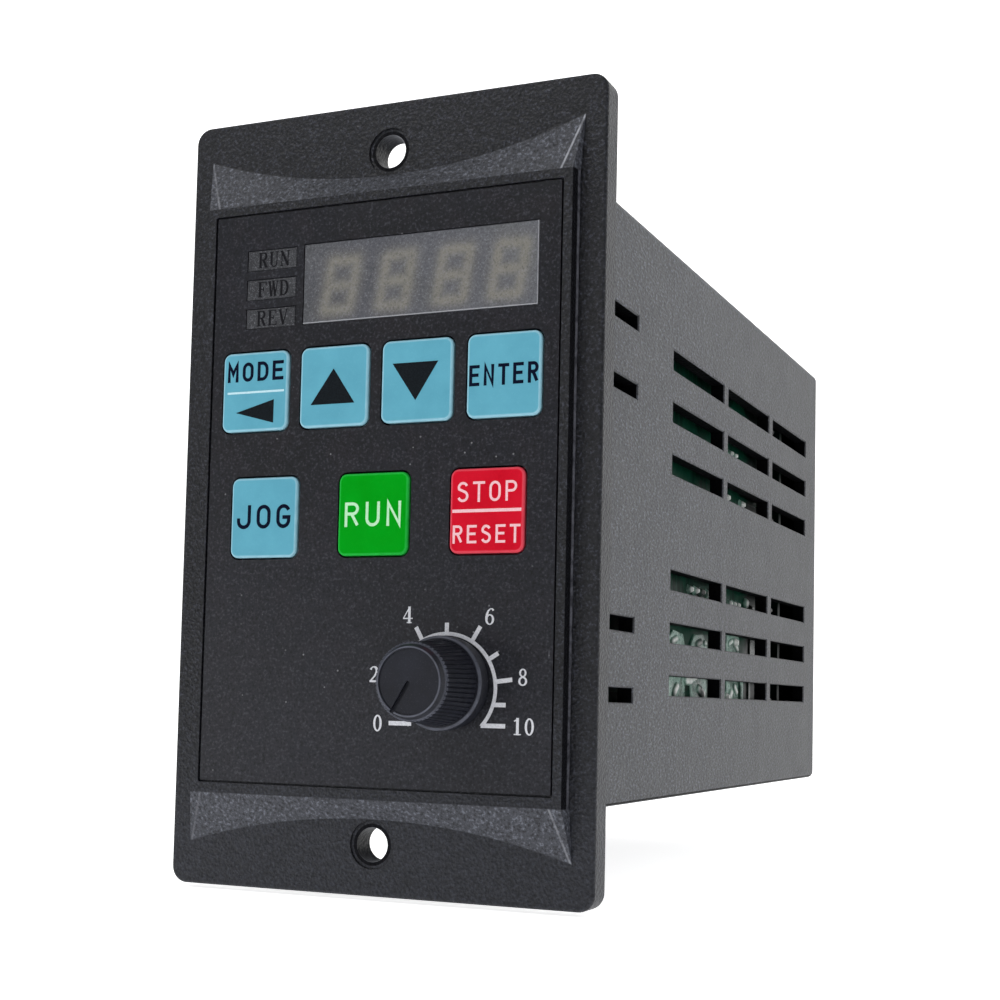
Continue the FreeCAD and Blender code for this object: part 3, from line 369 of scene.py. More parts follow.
M["ink_navy"] = ink("ink_navy", lin(4, 10, 28), lin(10, 18, 40), 0.05)
M["ink_dark"] = ink("ink_dark", lin(10, 16, 20), lin(22, 28, 33), 0.08)
M["ink_white"] = ink("ink_white", lin(168, 220, 176), lin(190, 230, 194), 0.1)
M["ink_pale"] = ink("ink_pale", lin(176, 212, 222), lin(194, 224, 232), 0.1)
M["ink_pink"] = ink("ink_pink", lin(228, 178, 186), lin(240, 196, 202), 0.1)
M["ink_grey"] = ink("ink_grey", lin(14, 14, 17), lin(26, 26, 30), 0.1)
M["ink_dial"] = ink("ink_dial", lin(186, 187, 194), lin(214, 215, 220))

# knob: satin moulding; along its front rim, the flutes' ends and the skirt's edge it is polished by handling (lower
# roughness) and carries a painted highlight (paler colour)
k = Mat("knob_black", 1.5, 0.17)
slow = k.noise(4.0, 3.0, 0.6)
fine = k.noise(0.22, 3.0, 0.65)
base = k.mix(k.span(slow, 0.3, 0.7), lin(25, 26, 32), lin(33, 35, 43))
base = k.mix(k.span(fine, 0.55, 0.72, 0.0, 0.4, True), base, lin(62, 64, 76))
kx_, ky_, kz_ = k.xyz()
dx_, dz_ = k.math("SUBTRACT", kx_, 0.0109), k.math("ADD", kz_, 0.0246)
kr = k.math("SQRT", k.math("ADD", k.math("MULTIPLY", dx_, dx_), k.math("MULTIPLY", dz_, dz_)))


def band(v, lo, a, b, hi):
    return k.math("MULTIPLY", k.span(v, lo * MM, a * MM, 0, 1, True), k.span(v, hi * MM, b * MM, 0, 1, True))


rim_highlight = k.math("MULTIPLY", band(kr, 4.02, 4.10, 4.20, 4.30), k.span(ky_, -0.01595, -0.01612))
tip_highlight = k.math("MULTIPLY", band(ky_, -15.62, -15.48, -15.16, -14.9), k.span(kr, 0.00448, 0.00462))
edge = k.math("MULTIPLY", band(ky_, -8.16, -8.09, -7.86, -7.70), k.span(kr, 0.00550, 0.00560))
lightened_mask = k.math("MAXIMUM", k.math("MAXIMUM", rim_highlight, k.math("MULTIPLY", tip_highlight, 0.7)), k.math("MULTIPLY", edge, 0.8))
lightened_mask = k.math("MULTIPLY", lightened_mask, k.span(k.noise(1.6, 2.0), 0.25, 0.7, 0.45, 1.0))
# painted highlight: paler colour on the polished rims, flute ends and skirt edge
base = k.mix(k.math("MULTIPLY", lightened_mask, 0.75), base, lin(104, 107, 119))
dustf = k.math("MULTIPLY", k.span(k.cells(1.2), 0.10, 0.04, 0.0, 1.0, True), k.span(k.noise(3.0, 2.0), 0.5, 0.62, 0.0, 0.6, True))
k.colour(k.mix(dustf, base, lin(120, 122, 126)))
k.rough(k.span(k.math("ADD", k.noise(1.5, 3.0), k.math("MULTIPLY", lightened_mask, -0.4)), 0.0, 0.7, 0.22, 0.50))
k.bump(fine, 0.008)
M["knob"] = k.m


def lens(name, g0, g1, attribute=None):
    k = Mat(name, 1.49, 0.20)
    slow = k.noise(5.5, 3.0, 0.55)
    fine = k.noise(0.26, 3.0, 0.78)
    base = k.mix(k.span(slow, 0.3, 0.7), g0, g1)
    x, y, z = k.xyz()
    if attribute:
        across = k.span(x, -0.0114, 0.0222)
        d = k.attr(attribute)
        lightened_mask = k.math("MULTIPLY", d, k.span(k.noise(1.3, 3.0, 0.7), 0.25, 0.75, 0.70, 1.15))
        base = k.mix(k.math("MULTIPLY", across, 0.30), base, lin(122, 124, 128))
        base = k.mix(k.span(lightened_mask, 0.0, 1.0, 0.0, 0.85), base, lin(122, 119, 111))
        base = k.mix(k.span(k.noise(8.0, 2.0), 0.45, 0.75, 0.0, 0.10, True), base, lin(98, 100, 80))
        # painted highlight along the lens's right and bottom edges
        rim_highlight = k.math("MULTIPLY", k.span(y, -0.005572, -0.00552), k.math("MAXIMUM", k.span(x, 0.0219, 0.0221),
                                                                      k.span(z, 0.0230, 0.0228)))
        base = k.mix(k.math("MULTIPLY", rim_highlight, 0.8), base, lin(176, 178, 184))
    base = k.mix(k.span(fine, 0.50, 0.72, 0.0, 0.50, True), base, lin(136, 137, 144))
    base = k.mix(k.span(fine, 0.48, 0.28, 0.0, 0.55, True), base, lin(38, 38, 44))
    k.colour(base)
    k.rough(k.span(k.noise(1.6, 3.0), 0.3, 0.7, 0.40, 0.52))
    k.bump(fine, 0.004)
    return k.m


M["lens"] = lens("display_lens", lin(62, 63, 70), lin(78, 79, 85), "digit")
M["ind_lens"] = lens("indicator_lens", lin(46, 47, 50), lin(58, 59, 62))

M["display_grey"] = grainy("display_grey", lin(60, 60, 62), lin(80, 80, 82), 0.3, 5, (0.4, 0.5), 0.004).m
M["segment"] = grainy("segment_white", lin(200, 196, 180), lin(222, 218, 204), 0.2, 3, (0.35, 0.5), 0.003).m
M["lamp"] = grainy("lamp_clear", lin(190, 196, 190), lin(215, 220, 214), 0.3, 3, (0.2, 0.35), 0.003).m


def board(name, dark, mask0, mask1):
    """Solder-masked board: copper areas show lighter through the mask, with fine tracks between them."""
    k = Mat(name, 1.5, 0.06)
    pours = k.span(k.noise(9.0, 1.0, 0.3), 0.49, 0.51)
    rows = k.wave(2.3, "Y")
    cols = k.wave(2.9, "Z")
    pick = k.span(k.noise(17.0, 0.0), 0.49, 0.51)
    tr = k.math("ADD", k.math("MULTIPLY", k.span(rows, 0.80, 0.86), pick),
                k.math("MULTIPLY", k.span(cols, 0.80, 0.86), k.math("SUBTRACT", 1.0, pick)))
    copper = k.math("MAXIMUM", pours, tr)
    base = k.mix(k.math("MULTIPLY", copper, 0.85), mask0, mask1)
    base = k.mix(k.span(k.noise(0.5, 3.0), 0.5, 0.75, 0.0, 0.25, True), base, dark)
    # painted shade: the far end of the board, deep inside the housing, is painted almost black
    far = k.span(k.xyz()[1], 0.0925, 0.0955, 0.0, 0.93)
    k.colour(k.mix(far, base, (dark[0] * 0.3, dark[1] * 0.3, dark[2] * 0.35, 1)))
    k.rough(k.span(k.noise(3.0, 3.0), 0.3, 0.7, 0.30, 0.48))
    k.bump(copper, 0.030)
    k.bump(k.noise(0.25, 2.0), 0.004)
    return k.m


M["pcb"] = board("pcb_green", lin(2, 20, 14), lin(3, 36, 26), lin(6, 58, 42))


def solder():
    """Solder: pale and streaky with flux where it only wets the copper; painted glints make it near white where it
    stands up, and painted shade makes it almost black at the far end of the board.
    """
    k = Mat("solder", 1.5, 0.35, 0.0)
    n = k.noise(1.5, 4.0, 0.68)
    f = k.noise(0.45, 3.0, 0.7)
    base = k.mix(k.span(n, 0.36, 0.64), lin(92, 134, 118), lin(160, 190, 178))
    base = k.mix(k.span(f, 0.44, 0.30, 0.0, 0.45, True), base, lin(40, 74, 60))
    base = k.mix(k.span(k.noise(2.6, 2.0, 0.5), 0.50, 0.42, 0.0, 0.55, True), base, lin(14, 46, 34))
    x, y = k.xyz()[0], k.xyz()[1]
    # painted glints: the joints' raised tips are painted near white
    up = k.span(x, 0.02338, 0.02372, 0.0, 1.0, True)
    base = k.mix(k.math("MULTIPLY", up, k.span(n, 0.3, 0.55, 0.55, 1.0)), base, lin(246, 249, 246))
    # painted shade at the far end of the board
    k.colour(k.mix(k.span(y, 0.0925, 0.0955, 0.0, 0.93), base, lin(6, 12, 10)))
    k.rough(k.span(f, 0.3, 0.7, 0.18, 0.45))
    k.bump(k.math("ADD", n, k.math("MULTIPLY", f, 0.5)), 0.08)
    return k.m


M["solder"] = solder()


def metal(name, c0, c1, r, grain=0.3, bump=0.006, brushed=None):
    k = Mat(name, 1.5, 0.5, 1.0)
    v = k.stretch(*brushed) if brushed else None
    f = k.noise(grain, 3.0, 0.65, vec=v)
    k.colour(k.mix(k.span(k.noise(4.0, 3.0), 0.3, 0.7), c0, c1))
    k.rough(k.span(f, 0.3, 0.7, r[0], r[1]))
    k.bump(f, bump)
    return k.m


M["zinc_steel"] = metal("zinc_steel", lin(176, 178, 182), lin(206, 206, 204), (0.24, 0.42))
M["zinc_cast"] = metal("zinc_cast", lin(158, 160, 164), lin(188, 190, 192), (0.36, 0.55), 0.5, 0.012)
M["tinned"] = metal("tinned_brass", lin(190, 188, 176), lin(214, 210, 196), (0.22, 0.40))
M["aluminium"] = metal("heatsink_aluminium", lin(182, 184, 188), lin(208, 209, 212), (0.30, 0.46), 0.25, 0.006, (1.0, 0.04, 1.0))
M["component"] = grainy("component_black", lin(26, 26, 27), lin(38, 38, 39), 0.25, 5, (0.45, 0.6), 0.010).m
M["pot_blue"] = grainy("pot_blue", lin(22, 70, 140), lin(34, 88, 160), 0.3, 4, (0.35, 0.5), 0.006).m
M["ferrite_green"] = grainy("ferrite_green", lin(28, 92, 54), lin(44, 116, 70), 0.5, 6, (0.4, 0.55), 0.02).m
M["film_yellow"] = grainy("film_yellow", lin(206, 170, 40), lin(224, 188, 60), 0.4, 5, (0.35, 0.5), 0.006).m
M["disc_blue"] = grainy("disc_blue", lin(30, 66, 150), lin(44, 84, 172), 0.6, 4, (0.30, 0.5), 0.025).m
M["disc_black"] = grainy("disc_black", lin(28, 30, 28), lin(44, 46, 42), 0.6, 4, (0.35, 0.5), 0.025).m
M["relay_blue"] = grainy("relay_blue", lin(24, 84, 170), lin(36, 100, 190), 0.3, 6, (0.28, 0.42), 0.004).m
M["ferrite_grey"] = grainy("ferrite_grey", lin(52, 53, 56), lin(74, 75, 78), 0.25, 5, (0.42, 0.6), 0.012).m
M["plunger"] = grainy("plunger_black", lin(34, 34, 36), lin(46, 46, 48), 0.25, 3, (0.4, 0.5), 0.004).m


def enamel():
    k = Mat("enamelled_copper", 1.5, 0.5, 0.85)
    f = k.noise(0.35, 3.0)
    k.colour(k.mix(k.span(k.noise(3.0, 3.0), 0.3, 0.7), lin(150, 74, 34), lin(196, 108, 54)))
    k.rough(k.span(f, 0.3, 0.7, 0.20, 0.36))
    k.b.inputs["Coat Weight"].default_value = 0.6
    k.bump(f, 0.008)
    return k.m


M["copper"] = enamel()


def tape():
    k = Mat("tape_yellow", 1.5, 0.5)
    lap = k.span(k.wave(4.6, "Y", 0.3), 0.86, 0.94)
    base = k.mix(k.span(k.noise(3.0, 3.0), 0.3, 0.7), lin(214, 176, 44), lin(232, 196, 66))
    k.colour(k.mix(k.math("MULTIPLY", lap, 0.45), base, lin(150, 116, 24)))
    k.rough(k.span(k.noise(2.0, 3.0), 0.3, 0.7, 0.22, 0.4))
    k.bump(lap, 0.03)
    return k.m


M["tape"] = tape()


def fuse_glass():
    """Fuse: nickel caps on a pale ceramic-filled glass body, told apart by height."""
    k = Mat("fuse_glass", 1.5, 0.5)
    z = k.xyz()[2]
    cap = k.math("MAXIMUM", k.span(z, -0.0224, -0.0226), k.span(z, -0.0126, -0.0124))
    n = k.noise(0.8, 3.0)
    glass = k.mix(k.span(n, 0.3, 0.7), lin(196, 206, 200), lin(222, 230, 224))
    nickel = k.mix(k.span(n, 0.3, 0.7), lin(186, 186, 180), lin(212, 210, 202))
    k.colour(k.mix(cap, glass, nickel))
    k.link(cap, k.b.inputs["Metallic"])
    k.rough(k.span(k.noise(0.5, 2.0), 0.3, 0.7, 0.12, 0.3))
    k.bump(n, 0.004)
    return k.m


M["fuse"] = fuse_glass()


def sleeve(name, x_top, yc, zc, r):
    """Electrolytic can: printed plastic sleeve with a pale polarity stripe, bare aluminium end."""
    k = Mat(name, 1.5, 0.5)
    x, y, z = k.xyz()
    n = k.noise(3.0, 3.0)
    f = k.noise(0.3, 2.0)
    body = k.mix(k.span(n, 0.3, 0.7), lin(24, 30, 44), lin(34, 42, 60))
    side = k.math("SUBTRACT", z, zc * MM)
    stripe = k.span(side, (r * 0.86) * MM, (r * 0.88) * MM)
    dashes = k.span(k.wave(5.0, "X"), 0.45, 0.55)
    pale = k.mix(k.math("MULTIPLY", dashes, 0.6), lin(176, 182, 190), lin(120, 126, 138))
    body = k.mix(stripe, body, pale)
    top = k.span(x, (x_top + 0.15) * MM, (x_top + 0.05) * MM)
    alu = k.mix(k.span(n, 0.3, 0.7), lin(180, 182, 186), lin(206, 208, 210))
    k.colour(k.mix(top, body, alu))
    k.link(top, k.b.inputs["Metallic"])
    k.rough(k.span(f, 0.3, 0.7, 0.24, 0.38))
    k.bump(f, 0.004)
    return k.m


M["sleeve_u"] = sleeve("capacitor_sleeve_upper", -20.2, 60.0, 7.5, 11.0)
M["sleeve_l"] = sleeve("capacitor_sleeve_lower", -20.2, 60.0, -17.0, 11.0)
M["sleeve_s"] = sleeve("capacitor_sleeve_small", 10.05, 60.0, 14.0, 3.2)


def terminal_green():
    k = Mat("terminal_green", 1.5, 0.45)
    f = k.noise(0.3, 3.0, 0.6)
    n = k.noise(7.0, 3.0)
    base = k.mix(k.span(n, 0.3, 0.7), lin(18, 112, 62), lin(30, 132, 76))
    k.colour(k.mix(k.span(f, 0.55, 0.75, 0.0, 0.3, True), base, lin(60, 156, 100)))
    k.rough(k.span(k.noise(2.0, 3.0), 0.3, 0.7, 0.38, 0.52))
    k.bump(f, 0.010)
    return k.m


M["terminal"] = terminal_green()

BY_NODE = {
    "front_bezel": "bezel", "front_overlay": "overlay", "display_window": "ind_lens", "indicator_windows": "ind_lens",
    "led_display_body": "display_grey", "led_display_segments": "segment", "status_leds": "lamp", "control_pcb": "pcb",
    "control_pcb_screws": "zinc_steel", "tact_switch_bodies": "component", "pot_body": "pot_blue",
    "pot_bushing": "zinc_cast", "pot_shaft": "zinc_cast", "speed_knob": "knob", "control_board_parts": "component",
    "interboard_socket": "component", "interboard_header": "component", "rear_housing": "case", "power_pcb": "pcb",
    "heatsink": "aluminium", "power_module": "component", "bridge_rectifier": "component",
    "heatsink_screws": "zinc_steel", "bulk_capacitor_upper": "sleeve_u", "bulk_capacitor_lower": "sleeve_l",
    "choke_core": "ferrite_green", "choke_windings": "copper", "emi_capacitor": "film_yellow", "varistor": "disc_blue",
    "inrush_thermistor": "disc_black", "fuse": "fuse", "fuse_clips": "tinned", "precharge_relay": "relay_blue",
    "transformer_core": "ferrite_grey", "transformer_bobbin": "tape", "small_capacitors": "sleeve_s",
    "power_board_ics": "component", "solder_joints": "solder", "terminal_pcb": "pcb", "terminal_pcb_header": "component",
    "power_terminal_block": "terminal", "power_terminal_screws": "zinc_steel", "control_terminal_block": "terminal",
    "control_terminal_screws": "zinc_steel",
}
for n in ("mode_key", "up_key", "down_key", "enter_key", "jog_key", "run_key", "stop_reset_key"):
    BY_NODE[n] = n
for n, o in nodes.items():
    mat = M[BY_NODE.get(n, "plunger")]
    if len(o.data.materials) == 0:
        o.data.materials.append(mat)
    for i in range(len(o.data.materials)):
        o.data.materials[i] = mat


# ====================================================================== printed figures
def arc(cx, cy, rx, ry, a0, a1, n=10):
    return [(cx + rx * math.cos(math.radians(a0 + (a1 - a0) * i / n)),
             cy + ry * math.sin(math.radians(a0 + (a1 - a0) * i / n))) for i in range(n + 1)]


def offset(points, widths, closed):
    """Left and right outlines of a line of given widths, with mitred corners."""
    p = np.array(points, float)
    w = np.full(len(p), float(widths)) if np.isscalar(widths) else np.array(widths, float)
    same = np.linalg.norm(p - np.roll(p, 1, axis=0), axis=1) < 1e-6
    if not closed:
        same[0] = False
    p, w = p[~same], w[~same]
    n = len(p)
    left, right = [], []
    for i in range(n):
        if closed:
            a, b = p[i] - p[i - 1], p[(i + 1) % n] - p[i]
        else:
            a = p[i] - p[i - 1] if i > 0 else p[1] - p[0]
            b = p[i + 1] - p[i] if i < n - 1 else p[-1] - p[-2]
        a, b = a / np.linalg.norm(a), b / np.linalg.norm(b)
        na, nb = np.array([-a[1], a[0]]), np.array([-b[1], b[0]])
        m = na + nb
        m = m / np.linalg.norm(m)
        d = w[i] / 2 / max(0.35, float(m @ na))
        left.append(p[i] + m * d)
        right.append(p[i] - m * d)
    return np.array(left), np.array(right)


def line(points, widths, closed=False):
    """One printed line as (outer outline, hole outline or None)."""
    l, r = offset(points, widths, closed)
    if closed:
        def size(q):
            return abs(np.sum(q[:, 0] * np.roll(q[:, 1], -1) - q[:, 1] * np.roll(q[:, 0], -1)))
        return (l, r) if size(l) > size(r) else (r, l)
    return (np.vstack([l, r[::-1]]), None)


def shape(points, hole=None):
    return (np.array(points, float), None if hole is None else np.array(hole, float))


def inside(poly, pts):
    """Non-zero winding test, so an outline that crosses itself stays filled."""
    x, y = pts[:, 0], pts[:, 1]
    wind = np.zeros(len(pts), int)
    j = len(poly) - 1
    for i in range(len(poly)):
        x0, y0 = poly[j]
        x1, y1 = poly[i]
        side = (x1 - x0) * (y - y0) - (x - x0) * (y1 - y0)
        wind += ((y0 <= y) & (y1 > y) & (side > 0)).astype(int)
        wind -= ((y0 > y) & (y1 <= y) & (side < 0)).astype(int)
        j = i
    return wind != 0


def print_solid(name, prims, y_front, y_back, mat, body):
    """Union of flat outlines in the XZ plane (millimetres) as one thin solid piece."""
    verts, faces = [], []
    todo = list(prims)
    # outlines that touch are meshed together; far ones apart
    groups = []
    for pr in todo:
        lo, hi = pr[0].min(0) - 0.02, pr[0].max(0) + 0.02
        hit = [g for g in groups if (g[0] <= hi).all() and (g[1] >= lo).all()]
        new = [lo, hi, [pr]]
        for g in hit:
            new[0], new[1] = np.minimum(new[0], g[0]), np.maximum(new[1], g[1])
            new[2] += g[2]
            groups = [h for h in groups if h is not g]
        groups.append(new)
    for lo, hi, prs in groups:
        pts, edges = [], []
        for outer, hole in prs:
            for ring in (outer, hole):
                if ring is None:
                    continue
                b = len(pts)
                m = len(ring)
                pts += [Vector((float(q[0]), float(q[1]))) for q in ring]
                edges += [(b + i, b + (i + 1) % m) for i in range(m)]
        v2, e2, f2, _, _, _ = delaunay_2d_cdt(pts, edges, [], 0, 1e-6)
        v2 = np.array([(q[0], q[1]) for q in v2])
        f2 = [f for f in f2 if len(f) == 3]
        cen = np.array([v2[list(f)].mean(0) for f in f2])
        keep = np.zeros(len(f2), bool)
        for outer, hole in prs:
            k_in = inside(outer, cen)
            if hole is not None:
                k_in &= ~inside(hole, cen)
            keep |= k_in
        tri = []
        for f, kk in zip(f2, keep):
            if not kk:
                continue
            a, b, c = (v2[i] for i in f)
            area = (b[0] - a[0]) * (c[1] - a[1]) - (b[1] - a[1]) * (c[0] - a[0])
            if abs(area) < 1e-9:
                continue
            tri.append(tuple(f) if area > 0 else (f[0], f[2], f[1]))
        used = sorted({i for t in tri for i in t})
        idx = {u: n for n, u in enumerate(used)}
        base = len(verts)
        m = len(used)
        for y in (y_front, y_back):
            for u in used:
                verts.append((v2[u][0] * MM, y * MM, v2[u][1] * MM))
        count = {}
        for t in tri:
            a, b, c = (idx[i] for i in t)
            faces.append((base + a, base + b, base + c))
            faces.append((base + m + a, base + m + c, base + m + b))
            for e in ((a, b), (b, c), (c, a)):
                count[e] = count.get(e, 0) + 1
        for (a, b) in count:
            if (b, a) not in count:
                faces.append((base + a, base + m + a, base + m + b, base + b))
    me = bpy.data.meshes.new(name)
    me.from_pydata(verts, [], faces)
    me.update()
    me.materials.append(mat)
    ob = bpy.data.objects.new(name, me)
    bpy.context.scene.collection.objects.link(ob)
    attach(ob, body)
    return ob


# plain one-weight letters, drawn on a unit box; each entry is (points, closed)
def letter_lines(ch):
    A = arc
    return {
        "M": [([(0, 0), (0, 1), (0.5, 0.42), (1, 1), (1, 0)], False)],
        "O": [(A(0.5, 0.68, 0.5, 0.32, 0, 180, 14) + A(0.5, 0.32, 0.5, 0.32, 180, 360, 14), True)],
        "D": [([(0, 0), (0, 1)] + A(0.42, 0.60, 0.58, 0.40, 90, 0, 9) + A(0.42, 0.40, 0.58, 0.40, 0, -90, 9), True)],
        "E": [([(1, 1), (0, 1), (0, 0), (1, 0)], False), ([(0, 0.52), (0.86, 0.52)], False)],
        "N": [([(0, 0), (0, 1), (1, 0), (1, 1)], False)],
        "T": [([(-0.04, 1), (1.04, 1)], False), ([(0.5, 1), (0.5, -0.02)], False)],
        "R": [([(0, 0), (0, 1)] + A(0.56, 0.765, 0.44, 0.235, 90, -90, 12) + [(0, 0.53)], False),
              ([(0.48, 0.53), (1.02, 0)], False)],
        "J": [([(1, 1), (1, 0.30)] + A(0.5, 0.30, 0.5, 0.30, 0, -180, 14) + [(0, 0.36)], False)],
        "G": [(A(0.5, 0.68, 0.5, 0.32, 22, 180, 12) + A(0.5, 0.32, 0.5, 0.32, 180, 350, 13)
               + [(1, 0.45), (0.56, 0.45)], False)],
        "U": [([(0, 1)] + A(0.5, 0.30, 0.5, 0.30, 180, 360, 14) + [(1, 1)], False)],
        "S": [(A(0.5, 0.76, 0.46, 0.24, 20, 205, 11) + A(0.5, 0.265, 0.5, 0.265, 68, -160, 13), False)],
        "P": [([(0, 0), (0, 1)] + A(0.54, 0.75, 0.46, 0.25, 90, -90, 12) + [(0, 0.50)], False)],
    }[ch]


def plain_word(word, cx, cz, h, w, pitch, t):
    out = []
    x0 = cx - pitch * (len(word) - 1) / 2
    for i, ch in enumerate(word):
        for pts, closed in letter_lines(ch):
            q = [(x0 + i * pitch - w / 2 + t / 2 + px * (w - t), cz - h / 2 + t / 2 + pz * (h - t)) for px, pz in pts]
            if not closed:
                # ends run out to the letter's full box
                for a, b in ((0, 1), (-1, -2)):
                    d = np.array(q[a]) - np.array(q[b])
                    if abs(d[0]) < 1e-6 or abs(d[1]) < 1e-6:
                        q[a] = tuple(np.array(q[a]) + d / np.linalg.norm(d) * t / 2)
            out.append(line(q, t, closed))
    return out


# figures with thick and thin lines and small feet, on a unit box; lines are (points, widths, closed)
def book_lines(ch):
    K, T, S = 0.20, 0.085, 0.07          # thick, thin, serif
    A = arc

    def ring(cx, cz, rx, rz, kx, kz, n=28):
        o = [(cx + rx * math.cos(2 * math.pi * i / n), cz + rz * math.sin(2 * math.pi * i / n)) for i in range(n)]
        h = [(cx + (rx - kx) * math.cos(2 * math.pi * i / n), cz + (rz - kz) * math.sin(2 * math.pi * i / n))
             for i in range(n)]
        return ("shape", o, h)

    def foot(x, z, half):
        return ([(x - half, z), (x + half, z)], S, False)
    d = {
        "R": [([(0.20, 0), (0.20, 1)], K, False), foot(0.20, 0.035, 0.2), foot(0.14, 0.965, 0.14),
              ([(0.2, 0.965), (0.5, 0.965)] + A(0.52, 0.75, 0.26, 0.215, 80, -80, 8) + [(0.5, 0.53), (0.2, 0.53)],
               [T] * 3 + [K * 0.95] * 7 + [T] * 3, False),
              ([(0.48, 0.53), (0.82, 0.03)], K, False), foot(0.84, 0.035, 0.14)],
        "U": [([(0.22, 1), (0.22, 0.28)] + A(0.5, 0.28, 0.28, 0.25, 180, 360, 10) + [(0.78, 1)],
               [K, K] + [K * 0.9, K * 0.7, K * 0.55] + [T * 1.1] * 8 + [T], False), foot(0.22, 0.965, 0.2), foot(0.78, 0.965, 0.17)],
        "N": [([(0.18, 0), (0.18, 1)], T, False), ([(0.16, 0.98), (0.82, 0.02)], K, False), ([(0.82, 0), (0.82, 1)], T, False),
              foot(0.18, 0.035, 0.16), foot(0.1, 0.965, 0.12), foot(0.84, 0.965, 0.16)],
        "F": [([(0.24, 0), (0.24, 1)], K, False), foot(0.26, 0.035, 0.22), ([(0.04, 0.965), (0.88, 0.965)], S, False),
              ([(0.86, 1.0), (0.86, 0.76)], T, False), ([(0.24, 0.52), (0.62, 0.52)], T, False),
              ([(0.60, 0.64), (0.60, 0.40)], T, False)],
        "W": [([(0.10, 1), (0.30, 0.0)], K * 0.9, False), ([(0.30, 0.0), (0.50, 0.9)], T, False),
              ([(0.48, 1), (0.70, 0.0)], K * 0.9, False), ([(0.70, 0.0), (0.90, 1)], T, False),
              foot(0.10, 0.965, 0.14), foot(0.50, 0.965, 0.13), foot(0.90, 0.965, 0.13)],
        "D": [([(0.22, 0), (0.22, 1)], K, False), foot(0.16, 0.035, 0.14), foot(0.16, 0.965, 0.14),
              ([(0.22, 0.965), (0.42, 0.965)] + A(0.42, 0.5, 0.42, 0.465, 88, -88, 14) + [(0.42, 0.035), (0.22, 0.035)],
               [T] * 4 + [K * 0.6, K * 0.9] + [K] * 7 + [K * 0.9, K * 0.6] + [T] * 4, False)],
        "E": [([(0.24, 0), (0.24, 1)], K, False), ([(0.04, 0.965), (0.86, 0.965)], S, False), ([(0.04, 0.035), (0.90, 0.035)], S, False),
              ([(0.85, 1.0), (0.85, 0.76)], T, False), ([(0.89, 0.0), (0.89, 0.25)], T, False),
              ([(0.24, 0.51), (0.60, 0.51)], T, False), ([(0.59, 0.64), (0.59, 0.38)], T, False)],
        "V": [([(0.14, 1), (0.50, 0.0)], K, False), ([(0.50, 0.02), (0.86, 1)], T, False),
              foot(0.14, 0.965, 0.17), foot(0.86, 0.965, 0.15)],
        "0": [ring(0.5, 0.5, 0.43, 0.5, 0.22, 0.09)],
        "1": [([(0.52, 0), (0.52, 1)], 0.24, False), ([(0.18, 0.045), (0.86, 0.045)], 0.09, False),
              ([(0.20, 0.80), (0.52, 0.93)], 0.11, False)],
        "2": [(A(0.48, 0.72, 0.32, 0.235, 165, -30, 12) + [(0.60, 0.42), (0.16, 0.10)],
               [0.20, 0.16, 0.10, 0.09, 0.10, 0.12, 0.16, 0.20, 0.23, 0.24, 0.24, 0.23, 0.21, 0.15, 0.10], False),
              ([(0.08, 0.085), (0.86, 0.085)], 0.17, False), ([(0.86, 0.0), (0.92, 0.24)], 0.10, False)],
        "4": [([(0.64, 0), (0.64, 1)], 0.23, False), ([(0.66, 0.97), (0.06, 0.30)], 0.09, False),
              ([(0.02, 0.29), (0.98, 0.29)], 0.10, False), ([(0.40, 0.045), (0.88, 0.045)], 0.09, False)],
        "6": [ring(0.5, 0.315, 0.42, 0.315, 0.21, 0.075),
              ([(0.84, 0.84), (0.72, 0.945), (0.54, 0.94), (0.36, 0.83), (0.25, 0.66), (0.19, 0.45), (0.19, 0.30)],
               [0.17, 0.10, 0.09, 0.14, 0.20, 0.22, 0.20], False)],
        "8": [ring(0.5, 0.75, 0.34, 0.25, 0.17, 0.08), ring(0.5, 0.27, 0.42, 0.27, 0.20, 0.085)],
    }
    return d[ch]


def book_word(word, cx, cz, h, w, pitch, gain=1.0):
    out = []
    x0 = cx - pitch * (len(word) - 1) / 2
    for i, ch in enumerate(word):
        ox, oz = x0 + i * pitch - w / 2, cz - h / 2
        for item in book_lines(ch):
            if item[0] == "shape":
                out.append(shape([(ox + px * w, oz + pz * h) for px, pz in item[1]],
                                 [(ox + px * w, oz + pz * h) for px, pz in item[2]]))
                continue
            pts, wd, closed = item
            q = [(ox + px * w, oz + pz * h) for px, pz in pts]
            ww = wd * w * gain if np.isscalar(wd) else [v * w * gain for v in wd]
            out.append(line(q, ww, closed))
    return out


KEYC = {}
for n in ("mode_key", "up_key", "down_key", "enter_key", "jog_key", "run_key", "stop_reset_key"):
    a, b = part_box(n)
    KEYC[n] = ((a.x + b.x) / 2 / MM, (a.z + b.z) / 2 / MM)
KY, OY = -5.8, -5.5
INK_UP, INK_DOWN = 0.010, 0.020

x, z = KEYC["mode_key"]
print_solid("legend_mode", plain_word("MODE", x, z + 2.70, 2.62, 1.70, 2.33, 0.46), KY - INK_UP, KY + INK_DOWN, M["ink_navy"], "mode_key")
print_solid("legend_mode_divider", [line([(x - 4.3, z - 0.08), (x + 4.5, z - 0.08)], 0.28)], KY - INK_UP, KY + INK_DOWN,
            M["ink_pale"], "mode_key")
print_solid("legend_mode_arrow", [shape([(x - 2.9, z - 2.78), (x + 2.98, z - 4.36), (x + 2.98, z - 1.2)])],
            KY - INK_UP, KY + INK_DOWN, M["ink_dark"], "mode_key")
x, z = KEYC["up_key"]
print_solid("legend_up", [shape([(x - 3.4, z - 2.35), (x + 3.15, z - 2.35), (x - 0.07, z + 2.36)])], KY - INK_UP, KY + INK_DOWN,
            M["ink_dark"], "up_key")
x, z = KEYC["down_key"]
